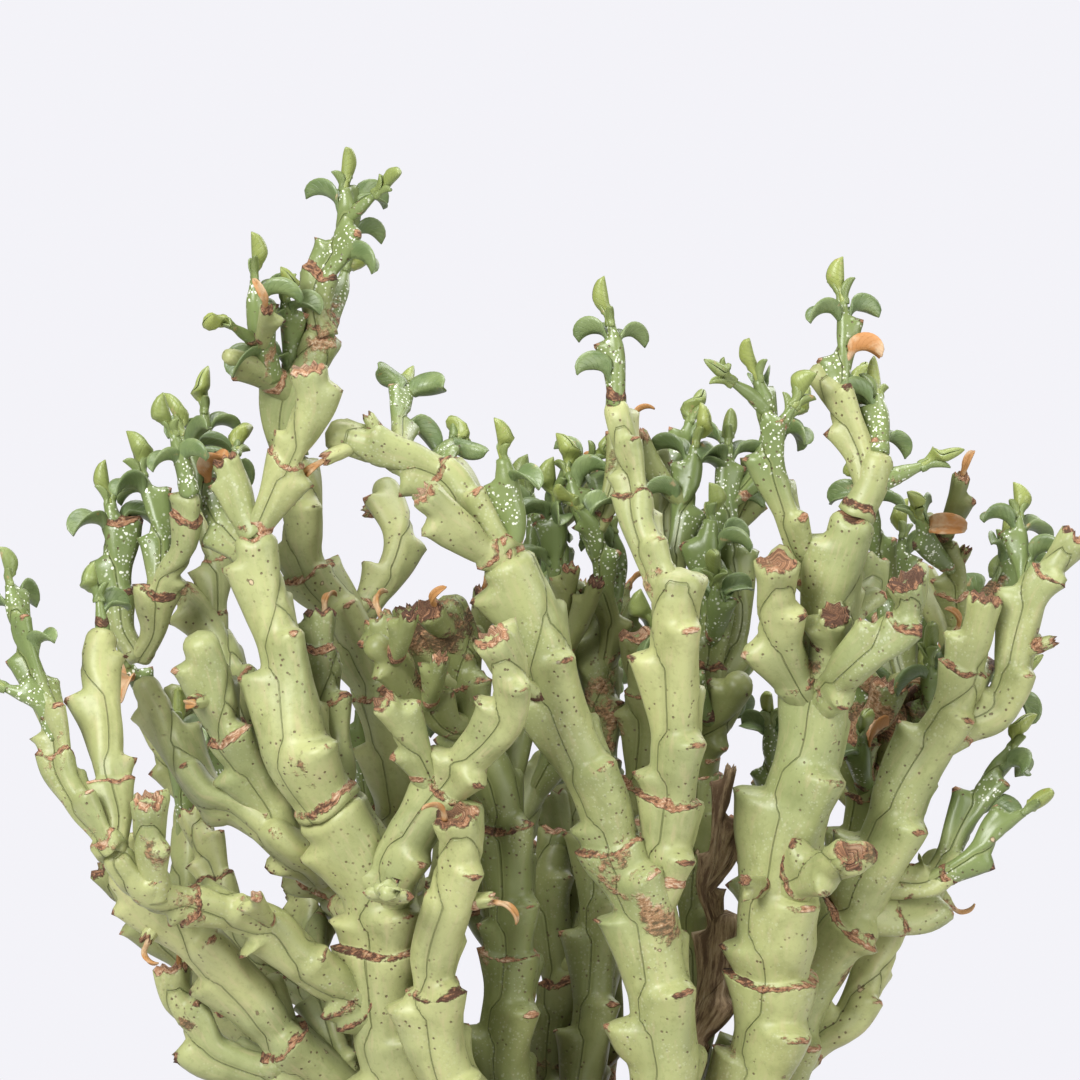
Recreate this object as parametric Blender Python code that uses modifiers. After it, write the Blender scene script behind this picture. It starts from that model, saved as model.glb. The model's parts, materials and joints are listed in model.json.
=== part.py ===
"""A potted Euphorbia hamata: a clump of leafy, knobbly stems on a woody caudex, in a clay pot.

The plant is about 240 mm wide and the whole thing about 365 mm tall. The stems on the near side
are read from a photograph: each route is a list of points chosen by eye, in the pixels of a
square picture whose side spans PICTURE_SIDE at the middle of the plant. The stems on the far
side, which no picture shows, grow by a seeded rule. Each main stem is one object, with its
branches, its tubercles in three ranks and its leaves joined to it.
"""

import math
from dataclasses import dataclass, field

import bmesh
import bpy
import numpy as np

MM = 0.001

# Pot, with its origin at the middle of its foot
POT_HEIGHT = 125 * MM
POT_RIM_RADIUS = 75 * MM
POT_FOOT_RADIUS = 52 * MM
POT_WALL = 6 * MM
POT_FLOOR = 9 * MM
POT_COLLAR_HEIGHT = 24 * MM
POT_COLLAR_STEP = 3.5 * MM
POT_STEPS = 40
DRAIN_HOLES = 3
DRAIN_HOLE_RADIUS = 5 * MM
DRAIN_RING_RADIUS = 26 * MM

# Soil and caudex
SOIL_TOP = 113 * MM
SOIL_STEPS = 36
GRIT_HEIGHT = 1.6 * MM
FIT_GAP = 0.35 * MM
CAUDEX_RADIUS = 42 * MM
CAUDEX_FOOT_RADIUS = 27 * MM
CAUDEX_FOOT = 78 * MM
CAUDEX_CROWN = 128 * MM
CAUDEX_STEPS = 28
SOCKET_FLOOR = 119 * MM
SOCKET_GAP = 0.42 * MM
SOCKET_RINGS = 3
BARE_BELOW = 138 * MM

# The picture that the near stems are read from
PICTURE_PIXELS = 1080
PICTURE_SIDE = 240 * MM
PICTURE_CENTRE_HEIGHT = 280 * MM
CAMERA_DISTANCE = 1.30
CAMERA_ELEVATION = math.radians(3)

# Stems
LINK = 7 * MM
THIN_STEM = 6.3 * MM
RING_GAP_BASE = 8 * MM
RING_GAP_PER_WIDTH = 0.4
TUBERCLE_BASE = 2.2 * MM
TUBERCLE_PER_WIDTH = 0.2
TUBERCLE_TURN = 2
TUBERCLE_LIFT = 0.42
TIP_GUARD = 1.8 * MM
# Where a tubercle must be clear: shares of its height, of the ring gap and of the stem's radius
TUBERCLE_PROBES = ((1, 0, 0), (0.5, -0.5, 0), (0.5, 0.3, 0), (0.5, 0, 0.45), (0.5, 0, -0.45))
JOINT_PINCH = 0.86
STEM_EDGE_ANGLE = 66
CLEARANCE = 2.1 * MM
SAFE_GAP = 1 * MM
LEAST_SHARE = 0.65
CLEAR_ROUNDS = 200
LONGEST_PUSH = 9 * MM
PUSH_SHARE = 0.6
PUSH_SPREAD = 11 * MM
STIFF_BELOW = 129 * MM
TRUNK_EASE = 20 * MM
BRANCH_EASE = 14 * MM
SIBLING_ZONE = 20 * MM
NEAREST = -80 * MM
FARTHEST = 100 * MM
SEED = 7

# Leaves
LEAF_LENGTH = 10.5 * MM
LEAF_WIDTH = 5.6 * MM
LEAF_THICKNESS = 1.2 * MM


@dataclass
class Stem:
    """One stretch of stem, from its root on its parent, or in the caudex, to its tip."""

    parent: int
    route: tuple
    width: tuple
    depth: float
    joints: tuple = ()
    leaves: int = 0
    links: np.ndarray = field(default=None, repr=False)
    joint_arcs: tuple = ()
    offset: int = 0
    grows_from: int = -1


def stem(parent, depth, width, route, joints=(), leaves=0):
    """A stem, with its tip's depth behind the plant's middle plane and its widths in mm."""
    return Stem(parent, route, width, depth, joints, leaves)


ROOT = -1

# Every route runs to the tip in the picture's pixels. A branch's starts on its mother stem; a
# trunk's starts above its root, which counts as point 0 when joints are numbered.
NEAR_STEMS = {
    "left_trunk": (
        stem(ROOT, -34, (12, 14.5, 16.5, 16, 14.5),
             ((438, 1170), (402, 1080), (387, 1010), (383, 950), (381, 898),
              (371, 870), (352, 840), (330, 806)), joints=(4, 8)),
        stem(0, -38, (15.5, 15.5, 11, 9, 8.5),
             ((318, 798), (300, 755), (291, 704), (283, 653), (268, 602), (260, 564), (255, 536)),
             joints=(6,)),
        stem(1, -36, (6.5, 5.8), ((255, 536), (245, 515), (235, 480), (225, 460))),
        stem(1, -48, (6, 6.5, 7.5),
             ((258, 534), (272, 498), (288, 462), (306, 419), (314, 385), (308, 368)), joints=(2,)),
        stem(1, -22, (5.2, 4), ((240, 556), (225, 530), (207, 498), (194, 457), (184, 436)), leaves=4),
        stem(0, -26, (9, 7.5, 6.5),
             ((345, 812), (338, 770), (330, 730), (327, 704), (325, 679), (322, 650), (320, 612)),
             joints=(3, 5)),
        stem(0, -18, (12.5, 12.5, 11, 9, 6),
             ((371, 920), (341, 888), (307, 856), (295, 850), (274, 829), (238, 801), (208, 793),
              (184, 760), (163, 717), (145, 684), (140, 658)), joints=(3, 6, 10)),
        stem(6, -14, (5.5, 5.2),
             ((140, 658), (122, 627), (120, 596), (115, 564), (115, 538), (119, 528), (110, 505)),
             joints=(2, 5), leaves=3),
        stem(6, -32, (5, 5.5),
             ((148, 665), (155, 630), (158, 594), (168, 571), (184, 548), (189, 515), (190, 495)),
             joints=(2, 5)),
        stem(6, -6, (8, 6),
             ((296, 845), (275, 770), (252, 720), (240, 685), (225, 650), (203, 615), (180, 588)),
             joints=(3,)),
        stem(9, 0, (5, 4.5), ((210, 625), (217, 600), (215, 565), (208, 540), (203, 512)), joints=(2,)),
        stem(6, -38, (7.5, 9, 8.5),
             ((283, 838), (272, 800), (263, 788), (242, 755), (230, 737), (222, 717), (209, 666),
              (199, 635)), joints=(4,)),
        stem(0, -56, (10.5, 10, 8, 7),
             ((378, 1004), (359, 1002), (330, 978), (295, 955), (270, 925), (229, 911), (192, 902),
              (146, 891), (114, 852)), joints=(1, 6)),
        stem(12, -44, (7, 6.5, 5, 3.8),
             ((120, 858), (108, 840), (85, 810), (65, 775), (60, 757), (58, 735), (45, 700),
              (30, 660), (18, 620), (10, 585)), joints=(1, 4), leaves=4),
        stem(12, -38, (5.5, 7.5, 7),
             ((118, 854), (118, 820), (110, 785), (107, 760), (105, 720), (100, 690), (97, 660),
              (103, 632)), joints=(2,)),
        stem(14, -38, (3.2, 2.8), ((103, 636), (106, 615), (99, 600)), leaves=2),
        stem(12, -62, (8, 6.5), ((165, 893), (150, 845), (148, 800))),
        stem(0, -66, (11, 11, 8.5, 7.5),
             ((386, 945), (392, 890), (398, 862), (416, 829), (434, 802), (445, 793), (467, 762),
              (490, 740), (508, 716), (511, 684), (503, 657), (490, 637)), joints=(5,)),
        stem(17, -60, (6.2, 5.5), ((434, 800), (430, 780), (416, 751), (400, 724), (383, 702))),
        stem(13, -50, (5, 3), ((58, 730), (40, 704), (22, 690), (4, 687)), leaves=1),
        stem(12, -60, (4, 2.6), ((264, 925), (256, 896))),
        stem(8, -34, (4.5, 3.6), ((190, 500), (184, 468), (174, 434)), leaves=4),
        stem(10, 0, (4.2, 3.4), ((203, 516), (200, 480), (204, 440), (205, 412)), leaves=4),
        stem(4, -10, (3.8, 3.2), ((207, 498), (222, 474), (236, 452)), leaves=3),
        stem(8, -16, (4.4, 3.4), ((160, 592), (160, 540), (152, 503), (142, 476)), leaves=3),
        stem(11, -40, (4.5, 2.4), ((214, 700), (191, 702))),
        stem(17, -70, (5, 2.6), ((394, 884), (372, 886))),
    ),
    "left_low_stem": (
        stem(ROOT, -32, (10.5, 13, 12, 11, 7),
             ((405, 1180), (372, 1125), (330, 1080), (284, 1042), (261, 1008),
              (228, 973), (199, 941), (169, 921), (146, 902), (127, 882), (118, 870)), joints=(4,)),
        stem(0, -16, (9, 8, 7),
             ((322, 1076), (261, 1068), (210, 1047), (192, 1012), (168, 985), (171, 967))),
        stem(0, 22, (8, 6.5),
             ((352, 1100), (330, 1031), (307, 990), (270, 965), (238, 930), (215, 870),
              (192, 812)), joints=(3, 5)),
        stem(0, 2, (6.4, 6), ((345, 1095), (325, 1000), (315, 950), (313, 920), (297, 888))),
        stem(0, -30, (4.4, 2.4), ((170, 925), (146, 940))),
        stem(1, -14, (4.4, 2.4), ((206, 1042), (178, 1057))),
    ),
    "front_left_stem": (
        stem(ROOT, -50, (11, 13.5, 12, 10.5, 9),
             ((532, 1170), (452, 1080), (435, 990), (437, 944), (448, 912),
              (457, 868), (461, 845), (455, 815)), joints=(3,)),
        stem(0, -50, (5.4, 2.8), ((460, 892), (493, 899))),
    ),
    "tall_left_stem": (
        stem(ROOT, -8, (10.5, 12, 11.5, 11, 10, 8.5),
             ((462, 1150), (428, 1020), (405, 930), (398, 847), (400, 796),
              (394, 767), (383, 706), (367, 662), (345, 617), (325, 588), (306, 564), (303, 520),
              (300, 490), (290, 457)), joints=(6, 10, 14)),
        stem(0, -14, (9, 8, 7.5),
             ((291, 462), (287, 440), (286, 419), (291, 393), (306, 370), (319, 352), (324, 336)),
             joints=(6,)),
        stem(1, -16, (7, 6, 4),
             ((324, 336), (318, 312), (324, 277), (332, 263), (342, 243), (347, 222), (349, 202),
              (345, 188)), joints=(2,), leaves=5),
        stem(1, -26, (7, 3.6), ((291, 400), (268, 375), (245, 362), (226, 355))),
        stem(3, -24, (5.5, 3.6), ((268, 375), (260, 342), (258, 320), (252, 300), (255, 280)), leaves=4),
        stem(4, -34, (3.6, 2.8), ((262, 345), (264, 325), (267, 308))),
        stem(1, -24, (4.5, 3.2), ((296, 376), (290, 340), (286, 310), (285, 296)), leaves=4),
        stem(2, -2, (4.5, 3.4), ((323, 328), (338, 300), (345, 272)), leaves=2),
        stem(2, -20, (3.2, 2.6), ((349, 216), (362, 203), (376, 194)), leaves=1),
        stem(0, 22, (6, 6.5), ((352, 628), (380, 590), (399, 545), (395, 512), (383, 484))),
        stem(9, 22, (4.4, 2.6), ((397, 520), (366, 511))),
        stem(1, -12, (4.8, 3), ((302, 395), (334, 390))),
        stem(4, -28, (3.4, 2.4), ((258, 332), (232, 326)), leaves=1),
    ),
    "inner_front_stem": (
        stem(ROOT, -34, (11, 13.5, 11.5, 10, 9.5, 8.5),
             ((520, 1160), (503, 1064), (507, 1020), (512, 977), (513, 951),
              (513, 912), (511, 868), (508, 828), (501, 796), (490, 765), (475, 735), (470, 706),
              (465, 684), (461, 650), (456, 628), (445, 600)), joints=(5, 8, 13)),
        stem(0, -48, (6.4, 6),
             ((472, 735), (452, 728), (434, 711), (412, 688), (389, 657), (371, 641))),
        stem(1, -40, (5.6, 5.6), ((412, 688), (398, 655), (386, 632), (377, 618))),
        stem(0, -28, (7.5, 6.5), ((462, 695), (434, 662), (418, 639), (409, 607))),
        stem(0, -44, (6.2, 6), ((457, 645), (440, 625), (428, 609))),
    ),
    "centre_stem": (
        stem(ROOT, -44, (12, 13.5, 14.5, 13.5, 12, 11.5, 12),
             ((640, 1160), (667, 1079), (665, 1042), (661, 998), (654, 955),
              (645, 905), (617, 847), (606, 807), (590, 773), (574, 740), (557, 695), (545, 650),
              (534, 617), (516, 578), (506, 557)), joints=(7,)),
        stem(0, -48, (11.5, 11, 10.5),
             ((648, 915), (663, 868), (669, 836), (675, 803), (675, 766), (677, 723), (675, 668),
              (675, 625), (677, 588), (680, 573)), joints=(3,)),
        stem(1, -36, (9, 7, 5),
             ((672, 608), (662, 580), (650, 551), (639, 518), (637, 498), (633, 473), (624, 440),
              (616, 405)), joints=(4, 7)),
        stem(2, -36, (4.5, 3), ((616, 408), (617, 384), (617, 362), (615, 339), (611, 324)), leaves=4),
        stem(0, -38, (9.5, 8.5, 7.5),
             ((508, 560), (491, 537), (472, 510), (453, 482), (441, 475), (420, 464), (405, 459),
              (377, 447), (348, 438), (329, 434)), joints=(4,)),
        stem(0, -56, (8, 6), ((506, 566), (488, 552), (463, 530), (443, 510), (424, 493)), joints=(1,)),
        stem(0, -48, (5.8, 5), ((514, 566), (518, 551), (514, 520), (507, 482), (503, 459)),
             joints=(1,), leaves=2),
        stem(4, -12, (4.5, 3.2), ((405, 459), (400, 440), (400, 420), (405, 400), (408, 386)), leaves=4),
        stem(4, -16, (3.6, 2.8), ((446, 478), (441, 462), (446, 448), (453, 441)), leaves=2),
        stem(4, -40, (4.2, 2.6), ((377, 447), (368, 416))),
        stem(4, -42, (4.2, 2.6), ((345, 437), (325, 459))),
        stem(0, -44, (6, 2.8), ((556, 700), (522, 684))),
    ),
    "right_trunk": (
        stem(ROOT, -36, (12, 13.5, 14.5, 18, 17, 14, 12, 9),
             ((705, 1160), (754, 1079), (766, 1047), (773, 1012), (777, 978),
              (777, 921), (782, 875), (789, 829), (800, 790), (816, 733), (820, 701), (827, 668),
              (831, 624), (836, 587), (845, 551), (855, 517)), joints=(5, 16)),
        stem(0, -36, (8.5, 7), ((855, 517), (867, 497), (877, 466), (879, 454))),
        stem(1, -36, (4.8, 3.2), ((874, 488), (891, 478), (906, 471), (922, 466)), leaves=1),
        stem(0, -48, (9, 8.5),
             ((818, 712), (798, 679), (788, 658), (779, 636), (777, 605), (777, 562))),
        stem(0, -52, (9.5, 8, 7),
             ((822, 690), (840, 680), (855, 665), (871, 651), (895, 630), (909, 609), (905, 580)),
             joints=(5,)),
        stem(0, -50, (8, 6.4), ((829, 676), (834, 647), (835, 614))),
        stem(0, -14, (7, 6.5), ((832, 630), (850, 610), (871, 587), (872, 562))),
        stem(0, -42, (7, 6, 4),
             ((836, 600), (815, 575), (803, 555), (797, 539), (782, 497), (773, 466), (770, 430),
              (765, 405), (758, 380)), joints=(1,), leaves=2),
        stem(7, -46, (3.6, 2.8), ((765, 410), (748, 392), (732, 382)), leaves=1),
        stem(7, -40, (3.6, 2.8), ((771, 435), (783, 414), (794, 406)), leaves=1),
        stem(1, -30, (7, 6), ((870, 474), (862, 452), (850, 425), (838, 400), (828, 386), (815, 368))),
        stem(10, -30, (4.5, 3), ((845, 418), (842, 395), (838, 376), (845, 350), (843, 320),
                                 (843, 302)), leaves=5),
        stem(1, -28, (4.6, 3.6), ((879, 458), (882, 439), (879, 410), (878, 396)), leaves=4),
        stem(10, -12, (3.8, 3), ((850, 425), (862, 408), (861, 388)), leaves=3),
        stem(0, -44, (11, 7.5), ((795, 880), (825, 868), (850, 856))),
        stem(0, -34, (5, 2.4), ((775, 885), (744, 880))),
    ),
    "right_outer_stem": (
        stem(ROOT, -18, (10.5, 13, 14, 14.5, 13.5, 12, 9, 7),
             ((705, 1185), (762, 1110), (785, 1050), (796, 1000), (816, 967),
              (835, 932), (849, 925), (860, 895), (876, 863), (892, 829), (906, 788), (930, 748),
              (954, 708), (968, 673), (973, 646), (984, 614), (986, 597)), joints=(7, 14)),
        stem(0, -16, (9.5, 8, 6.5),
             ((936, 738), (962, 727), (989, 717), (1008, 694), (1016, 654), (1026, 614), (1037, 582),
              (1042, 574), (1061, 558), (1077, 536)), joints=(7,)),
        stem(0, 4, (7, 4),
             ((890, 905), (925, 885), (946, 860), (968, 815), (994, 775), (1012, 748)), leaves=4),
        stem(2, -6, (5, 3.4), ((950, 880), (976, 855), (1004, 822), (1024, 812)), leaves=1),
        stem(0, 6, (10, 6.5), ((792, 1075), (823, 1035), (849, 1019), (869, 978), (885, 944), (899, 910))),
        stem(0, 10, (11, 8), ((862, 925), (904, 912), (925, 889), (943, 856))),
        stem(1, -4, (4.6, 3.4), ((1030, 604), (1026, 576), (1021, 547), (1018, 517)), leaves=4),
        stem(1, -18, (4.8, 2.6), ((1020, 645), (1053, 641))),
        stem(5, 10, (5, 2.8), ((922, 895), (949, 908))),
    ),
    "right_back_stem": (
        stem(ROOT, 24, (8.5, 10, 9, 8, 7),
             ((660, 1170), (720, 1090), (780, 1010), (830, 920), (872, 850),
              (905, 790), (930, 730), (950, 680), (962, 625)), joints=(4, 7)),
        stem(0, 14, (6.5, 5),
             ((962, 630), (957, 595), (954, 568), (946, 552), (933, 534), (925, 517)), joints=(1,)),
        stem(0, 30, (5.5, 5), ((952, 665), (946, 625), (935, 593), (922, 572))),
        stem(0, 34, (5.5, 4.5), ((958, 650), (975, 625), (985, 598), (994, 584)), leaves=2),
        stem(3, 38, (4, 3), ((978, 618), (1005, 580), (1003, 550)), leaves=3),
        stem(0, 40, (5.4, 3.4), ((930, 735), (905, 680), (893, 630), (896, 590), (900, 560), (903, 538)),
             leaves=3),
        stem(0, 12, (7.5, 7.5),
             ((835, 910), (858, 830), (866, 796), (858, 765), (855, 742), (866, 729), (884, 706),
              (890, 684)), joints=(2, 4)),
        stem(6, 20, (6, 6), ((864, 805), (885, 770), (898, 737), (900, 675)), joints=(2,)),
        stem(1, 14, (4, 2.4), ((950, 560), (966, 549))),
    ),
    "inner_right_stem": (
        stem(ROOT, 8, (8, 8.5, 8, 7.5, 7, 5.5),
             ((640, 1165), (686, 1080), (698, 1000), (697, 930), (697, 885),
              (701, 842), (701, 799), (703, 777), (699, 733), (703, 690), (712, 668), (714, 625),
              (716, 582), (708, 555), (711, 520)), joints=(8, 11), leaves=4),
        stem(0, -6, (7.5, 7), ((700, 778), (707, 744), (720, 716), (733, 694), (743, 679))),
        stem(0, 15, (5.8, 4), ((701, 715), (684, 650), (674, 580), (684, 509), (693, 473), (695, 446)),
             leaves=4),
        stem(2, 25, (4.8, 4.6), ((678, 608), (667, 540), (665, 507), (662, 473), (659, 448))),
        stem(0, 20, (6, 4), ((703, 700), (735, 640), (738, 590), (728, 530), (724, 480), (728, 444)),
             leaves=4),
    ),
    "inner_back_stem": (
        stem(ROOT, 16, (8.5, 9.5, 9, 8, 7.5),
             ((570, 1160), (590, 1040), (598, 940), (600, 850), (603, 760),
              (603, 700), (601, 655), (601, 614)), joints=(5,)),
        stem(0, 10, (7, 5.5, 4),
             ((600, 810), (575, 750), (562, 700), (561, 640), (560, 580), (558, 520), (556, 502)),
             joints=(3,), leaves=4),
        stem(0, -4, (5, 3), ((603, 665), (611, 625), (604, 600), (601, 562), (595, 527), (578, 507)),
             leaves=2),
        stem(2, 14, (4, 3.2), ((606, 605), (620, 568), (613, 532)), leaves=3),
        stem(0, 28, (6.5, 6.5), ((599, 730), (585, 655), (575, 607), (573, 584))),
        stem(0, 2, (8, 7.5), ((602, 830), (638, 785), (647, 723), (642, 690), (638, 658), (636, 634)),
             joints=(1, 3)),
        stem(1, 22, (5, 3.4), ((561, 640), (540, 600), (530, 560), (535, 520), (530, 494)), leaves=4),
    ),
    "low_back_stem": (
        stem(ROOT, 26, (8.5, 9, 9),
             ((556, 1150), (553, 1050), (559, 985), (550, 890), (559, 847), (561, 832)),
             joints=(3,)),
        stem(0, 34, (8, 7), ((556, 1010), (567, 955), (580, 912), (589, 868))),
        stem(0, 30, (7, 6.5), ((553, 1100), (590, 1062), (611, 1042), (604, 998), (592, 950))),
    ),
    "dry_stem": (
        stem(ROOT, -3, (7, 7, 7.8, 8.1),
             ((618, 1170), (664, 1100), (693, 1040), (714, 998), (722, 955), (726, 914)),
             joints=(3,)),
        stem(0, -14, (3.8, 2.4),
             ((722, 930), (707, 892), (716, 853), (720, 820), (727, 788), (731, 768))),
        stem(1, -10, (3.4, 2.2), ((710, 885), (735, 852), (741, 820), (745, 790))),
    ),
}

# Where each near trunk stands in the caudex, in mm to the right and backwards
NEAR_ROOTS = {
    "left_trunk": (-13.9, -19.7),
    "left_low_stem": (-25.4, -7.4),
    "front_left_stem": (3.5, -27.5),
    "tall_left_stem": (-13.9, 1.6),
    "inner_front_stem": (-2.5, -9.8),
    "centre_stem": (16.4, -20.5),
    "right_trunk": (27, -7.4),
    "right_outer_stem": (28.7, 9),
    "right_back_stem": (18.9, 17.2),
    "inner_right_stem": (15.6, 4.1),
    "inner_back_stem": (1.6, 3.3),
    "low_back_stem": (4.9, 15.6),
    "dry_stem": (11.5, -6.6),
}

# The far stems: where each stands in the caudex, in mm, and how far it leans outwards
FAR_ROOTS = ((-23.8, 9, 38), (-16, 21.5, 24), (-2.8, 26.6, 19), (10.7, 27, 26), (27.9, 23.8, 34))
FAR_TRUNK_LENGTH = 78
FAR_BRANCH_LENGTH = 52
FAR_SHOOT_LENGTH = 34


def clear_scene():
    """Removes what the file holds when it opens."""
    for item in list(bpy.data.objects):
        bpy.data.objects.remove(item, do_unlink=True)


def new_collection(name):
    """A collection linked to the scene."""
    made = bpy.data.collections.new(name)
    bpy.context.scene.collection.children.link(made)
    return made


def new_material(name, colour, roughness):
    """A plain Principled material."""
    made = bpy.data.materials.new(name)
    made.use_nodes = True
    shader = made.node_tree.nodes["Principled BSDF"]
    shader.inputs["Base Color"].default_value = (*colour, 1)
    shader.inputs["Roughness"].default_value = roughness
    shader.inputs["Metallic"].default_value = 0
    return made


def new_object(name, points, faces, collection, material=None):
    """An object from points and faces, with its faces turned outwards."""
    mesh = bpy.data.meshes.new(name)
    mesh.from_pydata([tuple(p) for p in points], [], faces)
    work = bmesh.new()
    work.from_mesh(mesh)
    bmesh.ops.recalc_face_normals(work, faces=work.faces)
    work.to_mesh(mesh)
    work.free()
    made = bpy.data.objects.new(name, mesh)
    if material:
        mesh.materials.append(material)
    collection.objects.link(made)
    return made


def as_cutter(item):
    """Shows an object as wire only and keeps it out of renders."""
    item.hide_render = True
    item.display_type = "WIRE"


def bake_modifiers(item):
    """Replaces an object's mesh by its evaluated one and drops its modifiers."""
    evaluated = item.evaluated_get(bpy.context.evaluated_depsgraph_get())
    mesh = bpy.data.meshes.new_from_object(evaluated)
    item.modifiers.clear()
    item.data = mesh


def turned(name, profile, steps, collection, material):
    """A solid turned round the Z axis from a closed profile of (radius, height)."""
    mesh = bpy.data.meshes.new(name)
    edges = [(i, i + 1) for i in range(len(profile) - 1)]
    mesh.from_pydata([(r, 0, z) for r, z in profile], edges, [])
    made = bpy.data.objects.new(name, mesh)
    mesh.materials.append(material)
    collection.objects.link(made)
    screw = made.modifiers.new("turn", "SCREW")
    screw.steps = steps
    screw.render_steps = steps
    screw.use_merge_vertices = True
    screw.merge_threshold = 0.00001
    bake_modifiers(made)
    return made


def shade(item, angle=40):
    """Shades an object smooth with its sharp edges kept."""
    item.data.shade_smooth()
    item.data.set_sharp_from_angle(angle=math.radians(angle))


def pot_outer_radius(height):
    """The pot's outer radius below its collar."""
    top = POT_RIM_RADIUS - POT_COLLAR_STEP
    return POT_FOOT_RADIUS + (top - POT_FOOT_RADIUS) * height / (POT_HEIGHT - POT_COLLAR_HEIGHT)


def pot_inner_radius(height):
    """The radius of the pot's plain tapered inside."""
    top = POT_RIM_RADIUS - POT_WALL
    low = POT_FOOT_RADIUS - POT_WALL
    return low + (top - low) * (height - POT_FLOOR) / (POT_HEIGHT - POT_FLOOR)


def make_pot(collection, cutters, material):
    """A tapered clay pot with a collar and drain holes."""
    edge = 2 * MM
    collar_foot = POT_HEIGHT - POT_COLLAR_HEIGHT
    profile = (
        (0, POT_FLOOR),
        (pot_inner_radius(POT_FLOOR) - edge, POT_FLOOR),
        (pot_inner_radius(POT_FLOOR + edge), POT_FLOOR + edge),
        (pot_inner_radius(POT_HEIGHT - edge), POT_HEIGHT - edge),
        (pot_inner_radius(POT_HEIGHT) + edge / 2, POT_HEIGHT),
        (POT_RIM_RADIUS - edge / 2, POT_HEIGHT),
        (POT_RIM_RADIUS, POT_HEIGHT - edge),
        (POT_RIM_RADIUS - edge / 4, collar_foot + edge),
        (POT_RIM_RADIUS - edge, collar_foot),
        (pot_outer_radius(collar_foot - edge / 2), collar_foot - edge / 2),
        (pot_outer_radius(edge), edge),
        (POT_FOOT_RADIUS - edge / 2, 0),
        (0, 0),
    )
    pot = turned("pot", profile, POT_STEPS, collection, material)
    for hole in range(DRAIN_HOLES):
        angle = math.tau * (hole + 0.5) / DRAIN_HOLES
        bpy.ops.mesh.primitive_cylinder_add(
            vertices=10, radius=DRAIN_HOLE_RADIUS, depth=3 * POT_FLOOR,
            location=(DRAIN_RING_RADIUS * math.cos(angle), DRAIN_RING_RADIUS * math.sin(angle), 0))
        cutter = bpy.context.object
        cutter.name = f"drain_cutter_{hole + 1}"
        for holder in cutter.users_collection:
            holder.objects.unlink(cutter)
        cutters.objects.link(cutter)
        as_cutter(cutter)
        cut = pot.modifiers.new(f"drain_{hole + 1}", "BOOLEAN")
        cut.operation = "DIFFERENCE"
        cut.solver = "EXACT"
        cut.object = cutter
    shade(pot)


def make_soil(collection, material):
    """Gritty soil that fills the pot, with a plain hole for the caudex."""
    foot = POT_FLOOR + FIT_GAP
    hole_foot = CAUDEX_FOOT - FIT_GAP
    hole_low = CAUDEX_FOOT_RADIUS + FIT_GAP
    hole_top = CAUDEX_RADIUS + 2 * FIT_GAP
    rim = pot_inner_radius(SOIL_TOP) - FIT_GAP
    rings = 6
    top = [(hole_top + (rim - hole_top) * i / rings, SOIL_TOP) for i in range(rings + 1)]
    profile = [
        (0, hole_foot),
        (hole_low, hole_foot),
        *top,
        (pot_inner_radius(foot + 2 * MM) - FIT_GAP, foot + 2 * MM),
        (pot_inner_radius(foot) - FIT_GAP - 2.4 * MM, foot),
        (0, foot),
    ]
    soil = turned("soil", profile, SOIL_STEPS, collection, material)
    rng = np.random.default_rng(SEED)
    for vertex in soil.data.vertices:
        radius = math.hypot(vertex.co.x, vertex.co.y)
        if abs(vertex.co.z - SOIL_TOP) < 0.1 * MM and hole_top + MM < radius < rim - MM:
            vertex.co.z += GRIT_HEIGHT * rng.uniform(-1, 1)
    soil.data.shade_flat()


def caudex_radius(height, angle):
    """The caudex's radius: a plain cone in the soil and a lumpy crown above it."""
    if height <= SOIL_TOP:
        share = (height - CAUDEX_FOOT) / (SOIL_TOP - CAUDEX_FOOT)
        return CAUDEX_FOOT_RADIUS + (CAUDEX_RADIUS - CAUDEX_FOOT_RADIUS) * share
    share = (height - SOIL_TOP) / (CAUDEX_CROWN - SOIL_TOP)
    lumps = 1.6 * MM * math.sin(5 * angle + 1) + 1.2 * MM * math.sin(9 * angle + 2.2)
    return CAUDEX_RADIUS * (1 - share * share) ** 0.42 + lumps * math.sin(math.pi * min(share, 0.9))


def make_caudex(collection, material):
    """The woody crown that all the stems grow from."""
    heights = [CAUDEX_FOOT, SOIL_TOP, SOIL_TOP + 2 * MM, SOIL_TOP + 5 * MM, SOIL_TOP + 9 * MM,
               SOIL_TOP + 12 * MM, CAUDEX_CROWN - 1.4 * MM, CAUDEX_CROWN - 0.3 * MM]
    points = []
    for height in heights:
        for step in range(CAUDEX_STEPS):
            angle = math.tau * step / CAUDEX_STEPS
            radius = caudex_radius(height, angle)
            points.append((radius * math.cos(angle), radius * math.sin(angle), height))
    points += [(0, 0, CAUDEX_FOOT), (0, 0, CAUDEX_CROWN)]
    faces = tube_faces(len(heights), CAUDEX_STEPS)
    return new_object("caudex", points, faces, collection, material)


def tube_faces(rings, sides):
    """Faces of a tube of rings, closed by a fan onto each of the two points after them."""
    faces = []
    for ring in range(rings - 1):
        for side in range(sides):
            low, high = ring * sides, (ring + 1) * sides
            turn = (side + 1) % sides
            faces.append((low + side, low + turn, high + turn))
            faces.append((low + side, high + turn, high + side))
    foot, tip = rings * sides, rings * sides + 1
    last = (rings - 1) * sides
    for side in range(sides):
        turn = (side + 1) % sides
        faces.append((foot, turn, side))
        faces.append((tip, last + side, last + turn))
    return faces


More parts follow.
